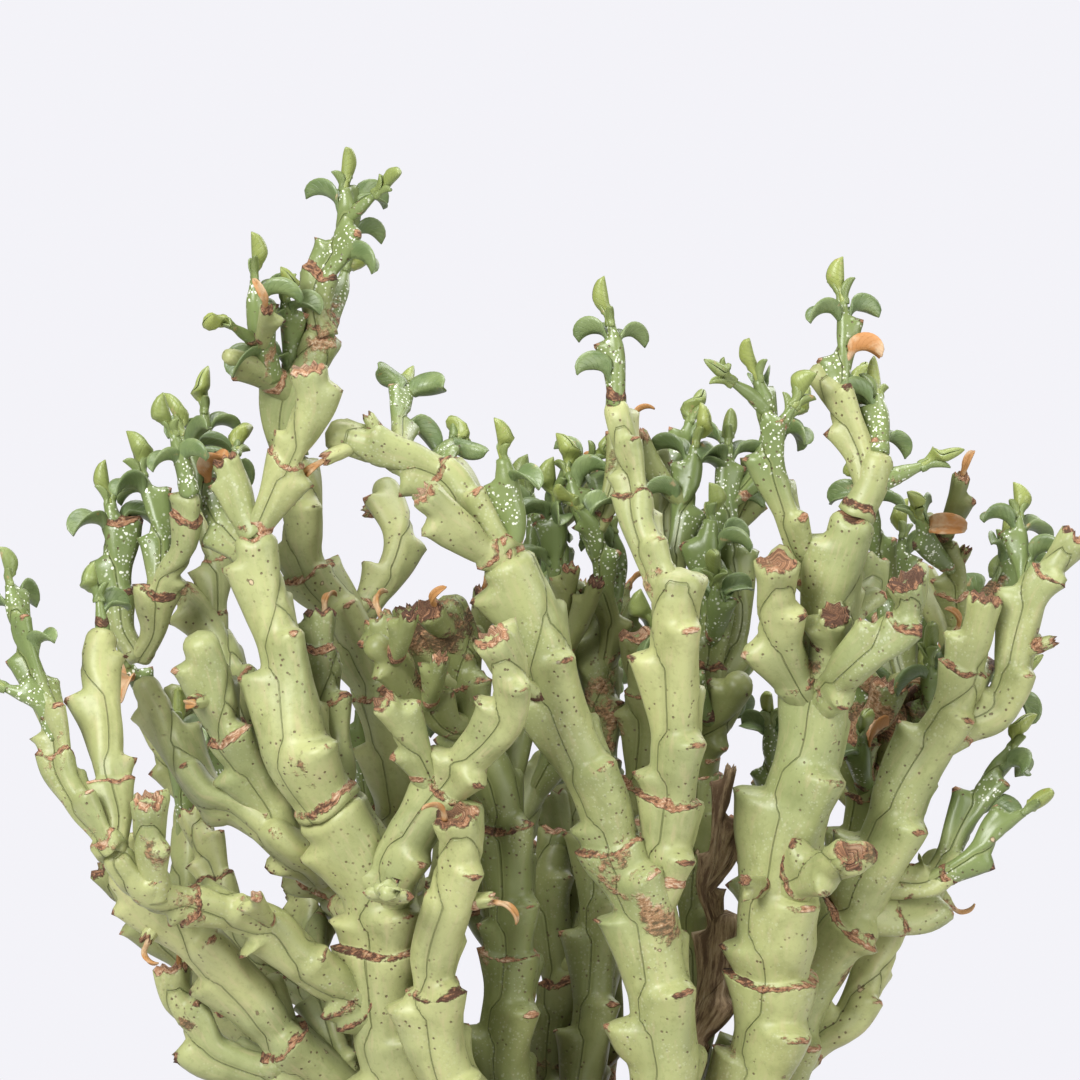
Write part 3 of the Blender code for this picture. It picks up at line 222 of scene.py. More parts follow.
# The near trees: where each stands in the caudex, in mm to the right and backwards, then a row for
# each stem: parent, depth of the tip, widths, route, joints and leaves. Every route runs to the
# tip: across, down, across, down and so on, in the picture's pixels. A branch's starts on its
# mother stem; a trunk's starts above its root, which counts as point 0 when joints are numbered.
NEAR_TREES = {
    "left_trunk": ((-13.9, -19.7), (
        (ROOT, -34, (12, 14.5, 16.5, 16, 14.5), (438, 1170, 402, 1080, 387, 1010, 383, 950,
         381, 898, 371, 870, 352, 840, 330, 806), (4, 8)),
        (0, -38, (15.5, 15.5, 11, 9, 8.5), (318, 798, 300, 755, 291, 704, 283, 653, 268, 602,
         260, 564, 255, 536), (6,)),
        (1, -36, (6.5, 5.8), (255, 536, 245, 515, 235, 480, 225, 460)),
        (1, -48, (6, 6.5, 7.5), (258, 534, 272, 498, 288, 462, 306, 419, 314, 385, 308, 368), (2,)),
        (1, -22, (5.2, 4), (240, 556, 225, 530, 207, 498, 194, 457, 184, 436), (), 4),
        (0, -26, (9, 7.5, 6.5), (345, 812, 338, 770, 330, 730, 327, 704, 325, 679, 322, 650,
         320, 612), (3, 5)),
        (0, -18, (12.5, 12.5, 11, 9, 6), (371, 920, 341, 888, 307, 856, 295, 850, 274, 829,
         238, 801, 208, 793, 184, 760, 163, 717, 145, 684, 140, 658), (3, 6, 10)),
        (6, -14, (5.5, 5.2), (140, 658, 122, 627, 120, 596, 115, 564, 115, 538, 119, 528,
         110, 505), (2, 5), 3),
        (6, -32, (5, 5.5), (148, 665, 155, 630, 158, 594, 168, 571, 184, 548, 189, 515,
         190, 495), (2, 5)),
        (6, -6, (8, 6), (296, 845, 275, 770, 252, 720, 240, 685, 225, 650, 203, 615,
         180, 588), (3,)),
        (9, 0, (5, 4.5), (210, 625, 217, 600, 215, 565, 208, 540, 203, 512), (2,)),
        (6, -38, (7.5, 9, 8.5), (283, 838, 272, 800, 263, 788, 242, 755, 230, 737, 222, 717,
         209, 666, 199, 635), (4,)),
        (0, -56, (10.5, 10, 8, 7), (378, 1004, 359, 1002, 330, 978, 295, 955, 270, 925, 229, 911,
         192, 902, 146, 891, 114, 852), (1, 6)),
        (12, -44, (7, 6.5, 5, 3.8), (120, 858, 108, 840, 85, 810, 65, 775, 60, 757, 58, 735,
         45, 700, 30, 660, 18, 620, 10, 585), (1, 4), 4),
        (12, -38, (5.5, 7.5, 7), (118, 854, 118, 820, 110, 785, 107, 760, 105, 720, 100, 690,
         97, 660, 103, 632), (2,)),
        (14, -38, (3.2, 2.8), (103, 636, 106, 615, 99, 600), (), 2),
        (12, -62, (8, 6.5), (165, 893, 150, 845, 148, 800)),
        (0, -66, (11, 11, 8.5, 7.5), (386, 945, 392, 890, 398, 862, 416, 829, 434, 802, 445, 793,
         467, 762, 490, 740, 508, 716, 511, 684, 503, 657, 490, 637), (5,)),
        (17, -60, (6.2, 5.5), (434, 800, 430, 780, 416, 751, 400, 724, 383, 702)),
        (13, -50, (5, 3), (58, 730, 40, 704, 22, 690, 4, 687), (), 1),
        (12, -60, (4, 2.6), (264, 925, 256, 896)),
        (8, -34, (4.5, 3.6), (190, 500, 184, 468, 174, 434), (), 4),
        (10, 0, (4.2, 3.4), (203, 516, 200, 480, 204, 440, 205, 412), (), 4),
        (4, -10, (3.8, 3.2), (207, 498, 222, 474, 236, 452), (), 3),
        (8, -16, (4.4, 3.4), (160, 592, 160, 540, 152, 503, 142, 476), (), 3),
        (11, -40, (4.5, 2.4), (214, 700, 191, 702)),
        (17, -70, (5, 2.6), (394, 884, 372, 886)),
    )),
    "left_low_stem": ((-25.4, -7.4), (
        (ROOT, -32, (10.5, 13, 12, 11, 7), (405, 1180, 372, 1125, 330, 1080, 284, 1042, 261, 1008,
         228, 973, 199, 941, 169, 921, 146, 902, 127, 882, 118, 870), (4,)),
        (0, -16, (9, 8, 7), (322, 1076, 261, 1068, 210, 1047, 192, 1012, 168, 985, 171, 967)),
        (0, 22, (8, 6.5), (352, 1100, 330, 1031, 307, 990, 270, 965, 238, 930, 215, 870,
         192, 812), (3, 5)),
        (0, 2, (6.4, 6), (345, 1095, 325, 1000, 315, 950, 313, 920, 297, 888)),
        (0, -30, (4.4, 2.4), (170, 925, 146, 940)),
        (1, -14, (4.4, 2.4), (206, 1042, 178, 1057)),
    )),
    "front_left_stem": ((3.5, -27.5), (
        (ROOT, -50, (11, 13.5, 12, 10.5, 9), (532, 1170, 452, 1080, 435, 990, 437, 944, 448, 912,
         457, 868, 461, 845, 455, 815), (3,)),
        (0, -50, (5.4, 2.8), (460, 892, 493, 899)),
    )),
    "tall_left_stem": ((-13.9, 1.6), (
        (ROOT, -8, (10.5, 12, 11.5, 11, 10, 8.5), (462, 1150, 428, 1020, 405, 930, 398, 847,
         400, 796, 394, 767, 383, 706, 367, 662, 345, 617, 325, 588, 306, 564, 303, 520, 300, 490,
         290, 457), (6, 10, 14)),
        (0, -14, (9, 8, 7.5), (291, 462, 287, 440, 286, 419, 291, 393, 306, 370, 319, 352,
         324, 336), (6,)),
        (1, -16, (7, 6, 4), (324, 336, 318, 312, 324, 277, 332, 263, 342, 243, 347, 222, 349, 202,
         345, 188), (2,), 5),
        (1, -26, (7, 3.6), (291, 400, 268, 375, 245, 362, 226, 355)),
        (3, -24, (5.5, 3.6), (268, 375, 260, 342, 258, 320, 252, 300, 255, 280), (), 4),
        (4, -34, (3.6, 2.8), (262, 345, 264, 325, 267, 308)),
        (1, -24, (4.5, 3.2), (296, 376, 290, 340, 286, 310, 285, 296), (), 4),
        (2, -2, (4.5, 3.4), (323, 328, 338, 300, 345, 272), (), 2),
        (2, -20, (3.2, 2.6), (349, 216, 362, 203, 376, 194), (), 1),
        (0, 22, (6, 6.5), (352, 628, 380, 590, 399, 545, 395, 512, 383, 484)),
        (9, 22, (4.4, 2.6), (397, 520, 366, 511)),
        (1, -12, (4.8, 3), (302, 395, 334, 390)),
        (4, -28, (3.4, 2.4), (258, 332, 232, 326), (), 1),
    )),
    "inner_front_stem": ((-2.5, -9.8), (
        (ROOT, -34, (11, 13.5, 11.5, 10, 9.5, 8.5), (520, 1160, 503, 1064, 507, 1020, 512, 977,
         513, 951, 513, 912, 511, 868, 508, 828, 501, 796, 490, 765, 475, 735, 470, 706, 465, 684,
         461, 650, 456, 628, 445, 600), (5, 8, 13)),
        (0, -48, (6.4, 6), (472, 735, 452, 728, 434, 711, 412, 688, 389, 657, 371, 641)),
        (1, -40, (5.6, 5.6), (412, 688, 398, 655, 386, 632, 377, 618)),
        (0, -28, (7.5, 6.5), (462, 695, 434, 662, 418, 639, 409, 607)),
        (0, -44, (6.2, 6), (457, 645, 440, 625, 428, 609)),
    )),
    "centre_stem": ((16.4, -20.5), (
        (ROOT, -44, (12, 13.5, 14.5, 13.5, 12, 11.5, 12), (640, 1160, 667, 1079, 665, 1042,
         661, 998, 654, 955, 645, 905, 617, 847, 606, 807, 590, 773, 574, 740, 557, 695, 545, 650,
         534, 617, 516, 578, 506, 557), (7,)),
        (0, -48, (11.5, 11, 10.5), (648, 915, 663, 868, 669, 836, 675, 803, 675, 766, 677, 723,
         675, 668, 675, 625, 677, 588, 680, 573), (3,)),
        (1, -36, (9, 7, 5), (672, 608, 662, 580, 650, 551, 639, 518, 637, 498, 633, 473, 624, 440,
         616, 405), (4, 7)),
        (2, -36, (4.5, 3), (616, 408, 617, 384, 617, 362, 615, 339, 611, 324), (), 4),
        (0, -38, (9.5, 8.5, 7.5), (508, 560, 491, 537, 472, 510, 453, 482, 441, 475, 420, 464,
         405, 459, 377, 447, 348, 438, 329, 434), (4,)),
        (0, -56, (8, 6), (506, 566, 488, 552, 463, 530, 443, 510, 424, 493), (1,)),
        (0, -48, (5.8, 5), (514, 566, 518, 551, 514, 520, 507, 482, 503, 459), (1,), 2),
        (4, -12, (4.5, 3.2), (405, 459, 400, 440, 400, 420, 405, 400, 408, 386), (), 4),
        (4, -16, (3.6, 2.8), (446, 478, 441, 462, 446, 448, 453, 441), (), 2),
        (4, -40, (4.2, 2.6), (377, 447, 368, 416)),
        (4, -42, (4.2, 2.6), (345, 437, 325, 459)),
        (0, -44, (6, 2.8), (556, 700, 522, 684)),
    )),
    "right_trunk": ((27, -7.4), (
        (ROOT, -36, (12, 13.5, 14.5, 18, 17, 14, 12, 9), (705, 1160, 754, 1079, 766, 1047,
         773, 1012, 777, 978, 777, 921, 782, 875, 789, 829, 800, 790, 816, 733, 820, 701, 827, 668,
         831, 624, 836, 587, 845, 551, 855, 517), (5, 16)),
        (0, -36, (8.5, 7), (855, 517, 867, 497, 877, 466, 879, 454)),
        (1, -36, (4.8, 3.2), (874, 488, 891, 478, 906, 471, 922, 466), (), 1),
        (0, -48, (9, 8.5), (818, 712, 798, 679, 788, 658, 779, 636, 777, 605, 777, 562)),
        (0, -52, (9.5, 8, 7), (822, 690, 840, 680, 855, 665, 871, 651, 895, 630, 909, 609,
         905, 580), (5,)),
        (0, -50, (8, 6.4), (829, 676, 834, 647, 835, 614)),
        (0, -14, (7, 6.5), (832, 630, 850, 610, 871, 587, 872, 562)),
        (0, -42, (7, 6, 4), (836, 600, 815, 575, 803, 555, 797, 539, 782, 497, 773, 466, 770, 430,
         765, 405, 758, 380), (1,), 2),
        (7, -46, (3.6, 2.8), (765, 410, 748, 392, 732, 382), (), 1),
        (7, -40, (3.6, 2.8), (771, 435, 783, 414, 794, 406), (), 1),
        (1, -30, (7, 6), (870, 474, 862, 452, 850, 425, 838, 400, 828, 386, 815, 368)),
        (10, -30, (4.5, 3), (845, 418, 842, 395, 838, 376, 845, 350, 843, 320, 843, 302), (), 5),
        (1, -28, (4.6, 3.6), (879, 458, 882, 439, 879, 410, 878, 396), (), 4),
        (10, -12, (3.8, 3), (850, 425, 862, 408, 861, 388), (), 3),
        (0, -44, (11, 7.5), (795, 880, 825, 868, 850, 856)),
        (0, -34, (5, 2.4), (775, 885, 744, 880)),
    )),
    "right_outer_stem": ((28.7, 9), (
        (ROOT, -18, (10.5, 13, 14, 14.5, 13.5, 12, 9, 7), (705, 1185, 762, 1110, 785, 1050,
         796, 1000, 816, 967, 835, 932, 849, 925, 860, 895, 876, 863, 892, 829, 906, 788, 930, 748,
         954, 708, 968, 673, 973, 646, 984, 614, 986, 597), (7, 14)),
        (0, -16, (9.5, 8, 6.5), (936, 738, 962, 727, 989, 717, 1008, 694, 1016, 654, 1026, 614,
         1037, 582, 1042, 574, 1061, 558, 1077, 536), (7,)),
        (0, 4, (7, 4), (890, 905, 925, 885, 946, 860, 968, 815, 994, 775, 1012, 748), (), 4),
        (2, -6, (5, 3.4), (950, 880, 976, 855, 1004, 822, 1024, 812), (), 1),
        (0, 6, (10, 6.5), (792, 1075, 823, 1035, 849, 1019, 869, 978, 885, 944, 899, 910)),
        (0, 10, (11, 8), (862, 925, 904, 912, 925, 889, 943, 856)),
        (1, -4, (4.6, 3.4), (1030, 604, 1026, 576, 1021, 547, 1018, 517), (), 4),
        (1, -18, (4.8, 2.6), (1020, 645, 1053, 641)),
        (5, 10, (5, 2.8), (922, 895, 949, 908)),
    )),
    "right_back_stem": ((18.9, 17.2), (
        (ROOT, 24, (8.5, 10, 9, 8, 7), (660, 1170, 720, 1090, 780, 1010, 830, 920, 872, 850,
         905, 790, 930, 730, 950, 680, 962, 625), (4, 7)),
        (0, 14, (6.5, 5), (962, 630, 957, 595, 954, 568, 946, 552, 933, 534, 925, 517), (1,)),
        (0, 30, (5.5, 5), (952, 665, 946, 625, 935, 593, 922, 572)),
        (0, 34, (5.5, 4.5), (958, 650, 975, 625, 985, 598, 994, 584), (), 2),
        (3, 38, (4, 3), (978, 618, 1005, 580, 1003, 550), (), 3),
        (0, 40, (5.4, 3.4), (930, 735, 905, 680, 893, 630, 896, 590, 900, 560, 903, 538), (), 3),
        (0, 12, (7.5, 7.5), (835, 910, 858, 830, 866, 796, 858, 765, 855, 742, 866, 729, 884, 706,
         890, 684), (2, 4)),
        (6, 20, (6, 6), (864, 805, 885, 770, 898, 737, 900, 675), (2,)),
        (1, 14, (4, 2.4), (950, 560, 966, 549)),
    )),
    "inner_right_stem": ((15.6, 4.1), (
        (ROOT, 8, (8, 8.5, 8, 7.5, 7, 5.5), (640, 1165, 686, 1080, 698, 1000, 697, 930, 697, 885,
         701, 842, 701, 799, 703, 777, 699, 733, 703, 690, 712, 668, 714, 625, 716, 582, 708, 555,
         711, 520), (8, 11), 4),
        (0, -6, (7.5, 7), (700, 778, 707, 744, 720, 716, 733, 694, 743, 679)),
        (0, 15, (5.8, 4), (701, 715, 684, 650, 674, 580, 684, 509, 693, 473, 695, 446), (), 4),
        (2, 25, (4.8, 4.6), (678, 608, 667, 540, 665, 507, 662, 473, 659, 448)),
        (0, 20, (6, 4), (703, 700, 735, 640, 738, 590, 728, 530, 724, 480, 728, 444), (), 4),
    )),
    "inner_back_stem": ((1.6, 3.3), (
        (ROOT, 16, (8.5, 9.5, 9, 8, 7.5), (570, 1160, 590, 1040, 598, 940, 600, 850, 603, 760,
         603, 700, 601, 655, 601, 614), (5,)),
        (0, 10, (7, 5.5, 4), (600, 810, 575, 750, 562, 700, 561, 640, 560, 580, 558, 520,
         556, 502), (3,), 4),
        (0, -4, (5, 3), (603, 665, 611, 625, 604, 600, 601, 562, 595, 527, 578, 507), (), 2),
        (2, 14, (4, 3.2), (606, 605, 620, 568, 613, 532), (), 3),
        (0, 28, (6.5, 6.5), (599, 730, 585, 655, 575, 607, 573, 584)),
        (0, 2, (8, 7.5), (602, 830, 638, 785, 647, 723, 642, 690, 638, 658, 636, 634), (1, 3)),
        (1, 22, (5, 3.4), (561, 640, 540, 600, 530, 560, 535, 520, 530, 494), (), 4),
    )),
    "low_back_stem": ((4.9, 15.6), (
        (ROOT, 26, (8.5, 9, 9), (556, 1150, 553, 1050, 559, 985, 550, 890, 559, 847,
         561, 832), (3,)),
        (0, 34, (8, 7), (556, 1010, 567, 955, 580, 912, 589, 868)),
        (0, 30, (7, 6.5), (553, 1100, 590, 1062, 611, 1042, 604, 998, 592, 950)),
    )),
    "dry_stem": ((11.5, -6.6), (
        (ROOT, -3, (7, 7, 7.8, 8.1), (618, 1170, 664, 1100, 693, 1040, 714, 998, 722, 955,
         726, 914), (3,)),
        (0, -14, (3.8, 2.4), (722, 930, 707, 892, 716, 853, 720, 820, 727, 788, 731, 768)),
        (1, -10, (3.4, 2.2), (710, 885, 735, 852, 741, 820, 745, 790)),
    )),
}

# The far stems: where each stands in the caudex, in mm, and how far it leans outwards
FAR_ROOTS = (((-23.8, 9), 38), ((-16, 21.5), 24), ((-2.8, 26.6), 19), ((10.7, 27), 26),
             ((27.9, 23.8), 34))


def arc_lengths(points: Array) -> Array:
    """Measures how far along a line each of its points is."""
    steps = np.linalg.norm(np.diff(points, axis=0), axis=1)
    return np.concatenate([[0], np.cumsum(steps)])


def smooth_line(points: Array, arcs_wanted: Array | None = None,
                step: float | None = None) -> Array:
    """Rounds a line of points into a curve through them.

    Args:
        points: One point a row.
        arcs_wanted: The distances along the curve where points are wanted, or None.
        step: The spacing of the points where no distances are given.

    Returns:
        One point a row.
    """
    fine = []
    ends = np.vstack([2 * points[0] - points[1], points, 2 * points[-1] - points[-2]])
    for index in range(len(points) - 1):
        a, b, c, d = ends[index:index + 4]
        for t in np.linspace(0, 1, 8, endpoint=False):
            fine.append(0.5 * (2 * b + (c - a) * t + (2 * a - 5 * b + 4 * c - d) * t * t
                               + (3 * b - a - 3 * c + d) * t ** 3))
    fine = np.array([*fine, points[-1]])
    arcs = arc_lengths(fine)
    if arcs_wanted is None:
        arcs_wanted = np.linspace(0, arcs[-1], max(2, round(arcs[-1] / step) + 1))
    return np.stack([np.interp(arcs_wanted, arcs, fine[:, axis]) for axis in range(3)], axis=-1)


def frames_along(points: Array) -> tuple[Array, Array, Array]:
    """Sets up axes along a line of points, turned as little as can be.

    Args:
        points: One point a row.

    Returns:
        Unit vectors along the line, and two across it.
    """
    along = np.gradient(points, axis=0)
    along /= np.linalg.norm(along, axis=1, keepdims=True)
    side = np.cross(along[0], (0, 1, 0))
    sides = []
    for direction in along:
        side = side - direction * np.dot(side, direction)
        side = side / np.linalg.norm(side)
        sides.append(side)
    sides = np.array(sides)
    return along, sides, np.cross(along, sides)


def smooth_step(value: Array, low: float | Array, high: float | Array) -> Array:
    """Eases from 0 at low to 1 at high, which may lie below low."""
    share = np.clip((value - low) / (high - low), 0, 1)
    return share * share * (3 - 2 * share)


def band(value: Array, low: float, full: float, fading: float | Array,
         gone: float | Array) -> Array:
    """Eases from 0 at low to 1 at full, and from 1 at fading to 0 at gone."""
    return smooth_step(value, low, full) * (1 - smooth_step(value, fading, gone))


@dataclass(frozen=True)
class FarRule:
    """One kind of stem of the far trees: its length in mm, times a seeded share, and its dress."""

    length: float
    shares: Pair
    width: tuple[float, ...]
    joints: tuple[int, ...] = ()
    leaves: int = 0


class FarKind(Enum):
    """The kinds of stem of the far trees."""

    TRUNK = FarRule(78, (0.85, 1.1), (8, 9, 8.5), (3,))
    BRANCH = FarRule(52, (0.75, 1.1), (7.4, 7), (2,))
    BARE = FarRule(34, (0.7, 1.2), (5, 5))
    LEAFY = FarRule(34, (0.7, 1.2), (5, 4), leaves=3)


class Clump:
    """All the stems, laid out from the table and the seeded rule and bent clear of each other."""

    def __init__(self) -> None:
        """Lays the trees out and bends them clear."""
        self.trees: dict[str, list[Stem]] = {}
        self.lay_out_near()
        self.lay_out_far()
        self.surroundings = Surroundings(*self.bend_clear())

    def lay_out_near(self) -> None:
        """Reads the near trees' links from their routes."""
        for name, (place, rows) in NEAR_TREES.items():
            placed: list[Stem] = []
            for one in (Stem(*row) for row in rows):
                route = np.array(one.route, dtype=float).reshape(-1, 2)
                if one.parent == ROOT:
                    root = np.array([*(MM * part for part in place), GROWTH.socket_floor])
                    start = PICTURE.from_world(root[None])[0]
                else:
                    mother = placed[one.parent].links
                    one.grows_from = int(np.argmin(np.hypot(*(mother[:, :2] - route[0]).T)))
                    start = mother[one.grows_from]
                    route = route[1:]
                route = np.vstack([start[:2], route])
                share = arc_lengths(route) / arc_lengths(route)[-1]
                depths = start[2] + (one.depth * MM - start[2]) * share
                one.lay(PICTURE.to_world(route[:, 0], route[:, 1], depths), GROWTH.link)
                placed.append(one)
            self.trees[name] = placed

    def lay_out_far(self) -> None:
        """Grows the far trees by their seeded rule."""
        for number, (place, lean) in enumerate(FAR_ROOTS, start=1):
            stems = self.far_tree(number, place, lean)
            for one in stems:
                one.lay(one.route, GROWTH.link)
                if one.parent != ROOT:
                    mother = stems[one.parent].links
                    one.grows_from = int(np.argmin(np.linalg.norm(
                        PICTURE.to_world(*mother.T) - one.route[0], axis=1)))
            self.trees[f"far_stem_{number}"] = stems

    @staticmethod
    def far_tree(number: int, place: Pair, lean: float) -> list[Stem]:
        """Grows one far tree: a trunk, two branches and three shoots.

        Args:
            number: Its number, which picks its seed.
            place: Its root's place to the right and backwards, in mm.
            lean: Its lean outwards, in degrees.

        Returns:
            Its stems, with their routes in metres.
        """
        rng = np.random.default_rng(SEED * 100 + number)
        outward = math.atan2(place[1] + GROWTH.far_middle_mm, place[0])
        made: list[Stem] = []

        def grow(parent: int, start: Array, azimuth: float, tilt: float,
                 kind: FarKind) -> tuple[int, Array]:
            """Adds one stem that wanders a little.

            Args:
                parent: The number of the stem it grows from.
                start: Its root.
                azimuth: The way it leans, in radians.
                tilt: Its lean, in degrees.
                kind: What kind of stem it is.

            Returns:
                Its number and its line of points.
            """
            rule, line = kind.value, [start]
            length = rule.length * rng.uniform(*rule.shares)
            for _ in range(GROWTH.far_pieces):
                tilt_now = math.radians(tilt)
                line.append(line[-1] + length / GROWTH.far_pieces * MM * np.array([
                    math.sin(tilt_now) * math.cos(azimuth),
                    math.sin(tilt_now) * math.sin(azimuth), math.cos(tilt_now)]))
                azimuth += rng.uniform(-GROWTH.far_turn, GROWTH.far_turn)
                tilt = max(GROWTH.far_upright, tilt + rng.uniform(*GROWTH.far_bend))
            points = np.array(line)
            made.append(Stem(parent, 0, rule.width, points, rule.joints, rule.leaves))
            return len(made) - 1, points

        start = np.array([*(MM * part for part in place), GROWTH.socket_floor])
        trunk, line = grow(ROOT, start, outward, lean, FarKind.TRUNK)
        wide, narrow = GROWTH.far_spread
        for branch in range(2):
            turn = outward + (branch - 0.5) * wide + rng.uniform(-GROWTH.far_turn, GROWTH.far_turn)
            tilt = lean * GROWTH.far_lean + rng.uniform(*GROWTH.far_tilts[0])
            fork, limb = grow(trunk, line[-1 - branch], turn, tilt, FarKind.BRANCH)
            for shoot in range(2 - branch):
                kind = FarKind.LEAFY if (branch + shoot) % 2 == 0 else FarKind.BARE
                grow(fork, limb[-1 - 2 * (shoot == 0)], turn + (shoot - 0.5) * narrow,
                     rng.uniform(*GROWTH.far_tilts[1]), kind)
        return made

    def bend_clear(self) -> tuple[Array, Array, Array]:
        """Moves stems along the line of sight until they pass clear of each other.

        Each pair of stems keeps the order, near or far, in which it first meets. A push is
        spread along its stem, and branches move with the stem that they grow from.

        Returns:
            A row of points along every stem, with their radii and their trees' numbers.
        """
        rule = GROWTH
        stems = [one for tree in self.trees.values() for one in tree]
        tree_of = [number for number, tree in enumerate(self.trees.values()) for _ in tree]
        count = 0
        for one in stems:
            one.offset = count
            count += len(one.links)
        links = np.vstack([one.links for one in stems])
        owner = np.concatenate([np.full(len(one.links), i) for i, one in enumerate(stems)])
        tree = np.array(tree_of)[owner]
        arc = np.concatenate([np.arange(len(one.links)) * rule.link for one in stems])
        radius = np.concatenate([one.width_at(np.linspace(0, 1, len(one.links))) / 2
                                 for one in stems])
        first_of_tree = np.cumsum([0] + [len(t) for t in self.trees.values()])
        mother = np.array([-1 if one.parent == ROOT else first_of_tree[tree_of[i]] + one.parent
                           for i, one in enumerate(stems)])
        trunk = mother[owner] < 0
        height = PICTURE.to_world(*links.T)[:, 2]
        freedom = np.where(trunk, np.clip((height - rule.stiff_below) / rule.trunk_ease, 0, 1),
                           np.clip(arc / rule.branch_ease, 0, 1))

        same_tree = tree[:, None] == tree[None, :]
        near_root = arc < rule.sibling_zone
        siblings = mother[owner][:, None] == mother[owner][None, :]
        siblings = siblings & near_root[:, None] & near_root
        kin = np.eye(len(stems), dtype=bool)
        for index in range(len(stems)):
            if mother[index] >= 0:
                kin[index] |= kin[mother[index]]
        kin = (kin | kin.T)[owner][:, owner]
        allowed = ~kin & ~(same_tree & siblings)
        reach = radius[:, None] + radius[None, :] + rule.clearance

        spread = np.exp(-0.5 * ((arc[:, None] - arc[None, :]) / rule.push_spread) ** 2)
        spread *= owner[:, None] == owner[None, :]
        spread /= spread.sum(axis=1, keepdims=True)
        far = np.array(tree_of) >= len(NEAR_TREES)
        order = far[:, None].astype(float) - far[None, :]
        for _ in range(rule.clear_rounds):
            points = PICTURE.to_world(*links.T)
            gap = points[:, None, :] - points[None, :, :]
            beside = gap[..., 0] ** 2 + gap[..., 2] ** 2
            need = np.sqrt(np.clip(reach ** 2 - beside, 0, None))
            first, second = np.nonzero(allowed & (need > np.abs(gap[..., 1])))
            votes = np.zeros_like(order)
            np.add.at(votes, (owner[first], owner[second]), gap[first, second, 1])
            order = np.where(order == 0, np.sign(votes), order)
            sign = order[owner[:, None], owner[None, :]]
            lack = np.where(allowed & (need > 0) & (sign != 0), need - sign * gap[..., 1], 0)
            lack = np.clip(lack, 0, rule.longest_push) * sign
            push = lack.max(axis=1) + lack.min(axis=1)
            if not np.any(lack):
                break
            moved = rule.push_share * (spread @ push) * freedom
            for index, one in enumerate(stems):
                if mother[index] >= 0:
                    carried = moved[stems[mother[index]].offset + one.grows_from]
                    moved[one.offset:one.offset + len(one.links)] += carried
            links[:, 2] = np.clip(links[:, 2] + moved, rule.nearest, rule.farthest)
        for one in stems:
            one.links = links[one.offset:one.offset + len(one.links)]
        points = PICTURE.to_world(*links.T)
        inner = owner[1:] == owner[:-1]
        between = (points[1:] + points[:-1])[inner] / 2
        return (np.vstack([points, between]), np.append(radius, radius[1:][inner]),
                np.append(tree, tree[1:][inner]))


@dataclass
class Surroundings:
    """The other stems' links and the leaf points so far, which new forms keep clear of."""

    points: Array
    radius: Array
    tree: Array

    def room(self, points: Array, tree: int) -> Array:
        """Measures the free space round a tree's points.

        Args:
            points: One world point a row.
            tree: The number of the tree that the points belong to.

        Returns:
            Their distances from the nearest stem or leaf of another tree, or 1 m if none is near.
        """
        others = self.tree != tree
        low, high = points.min(axis=0) - GROWTH.near_by, points.max(axis=0) + GROWTH.near_by
        others &= np.all((self.points > low) & (self.points < high), axis=1)
        if not others.any():
            return np.full(len(points), 1.0)
        gaps = np.linalg.norm(points[:, None, :] - self.points[others][None, :, :], axis=2)
        return (gaps - self.radius[others]).min(axis=1)

    def claim(self, points: Array, radius: float, tree: int) -> None:
        """Adds a leaf's or a tubercle's points to what later forms keep clear of.

        Args:
            points: The form's points, one a row.
            radius: How far it reaches round them.
            tree: The number of its tree.
        """
        self.points = np.vstack([self.points, points])
        self.radius = np.append(self.radius, [radius] * len(points))
        self.tree = np.append(self.tree, [tree] * len(points))


@dataclass
class Tubercle:
    """One tubercle: where its tip stands on the stem, how high it is and its rank's angle."""

    arc: float
    angle: float
    height: float


@dataclass
class LeafPlace:
    """A leaf's root, the way it points and its size."""

    root: Array
    out: Array
    up: Array
    length: float
    width: float


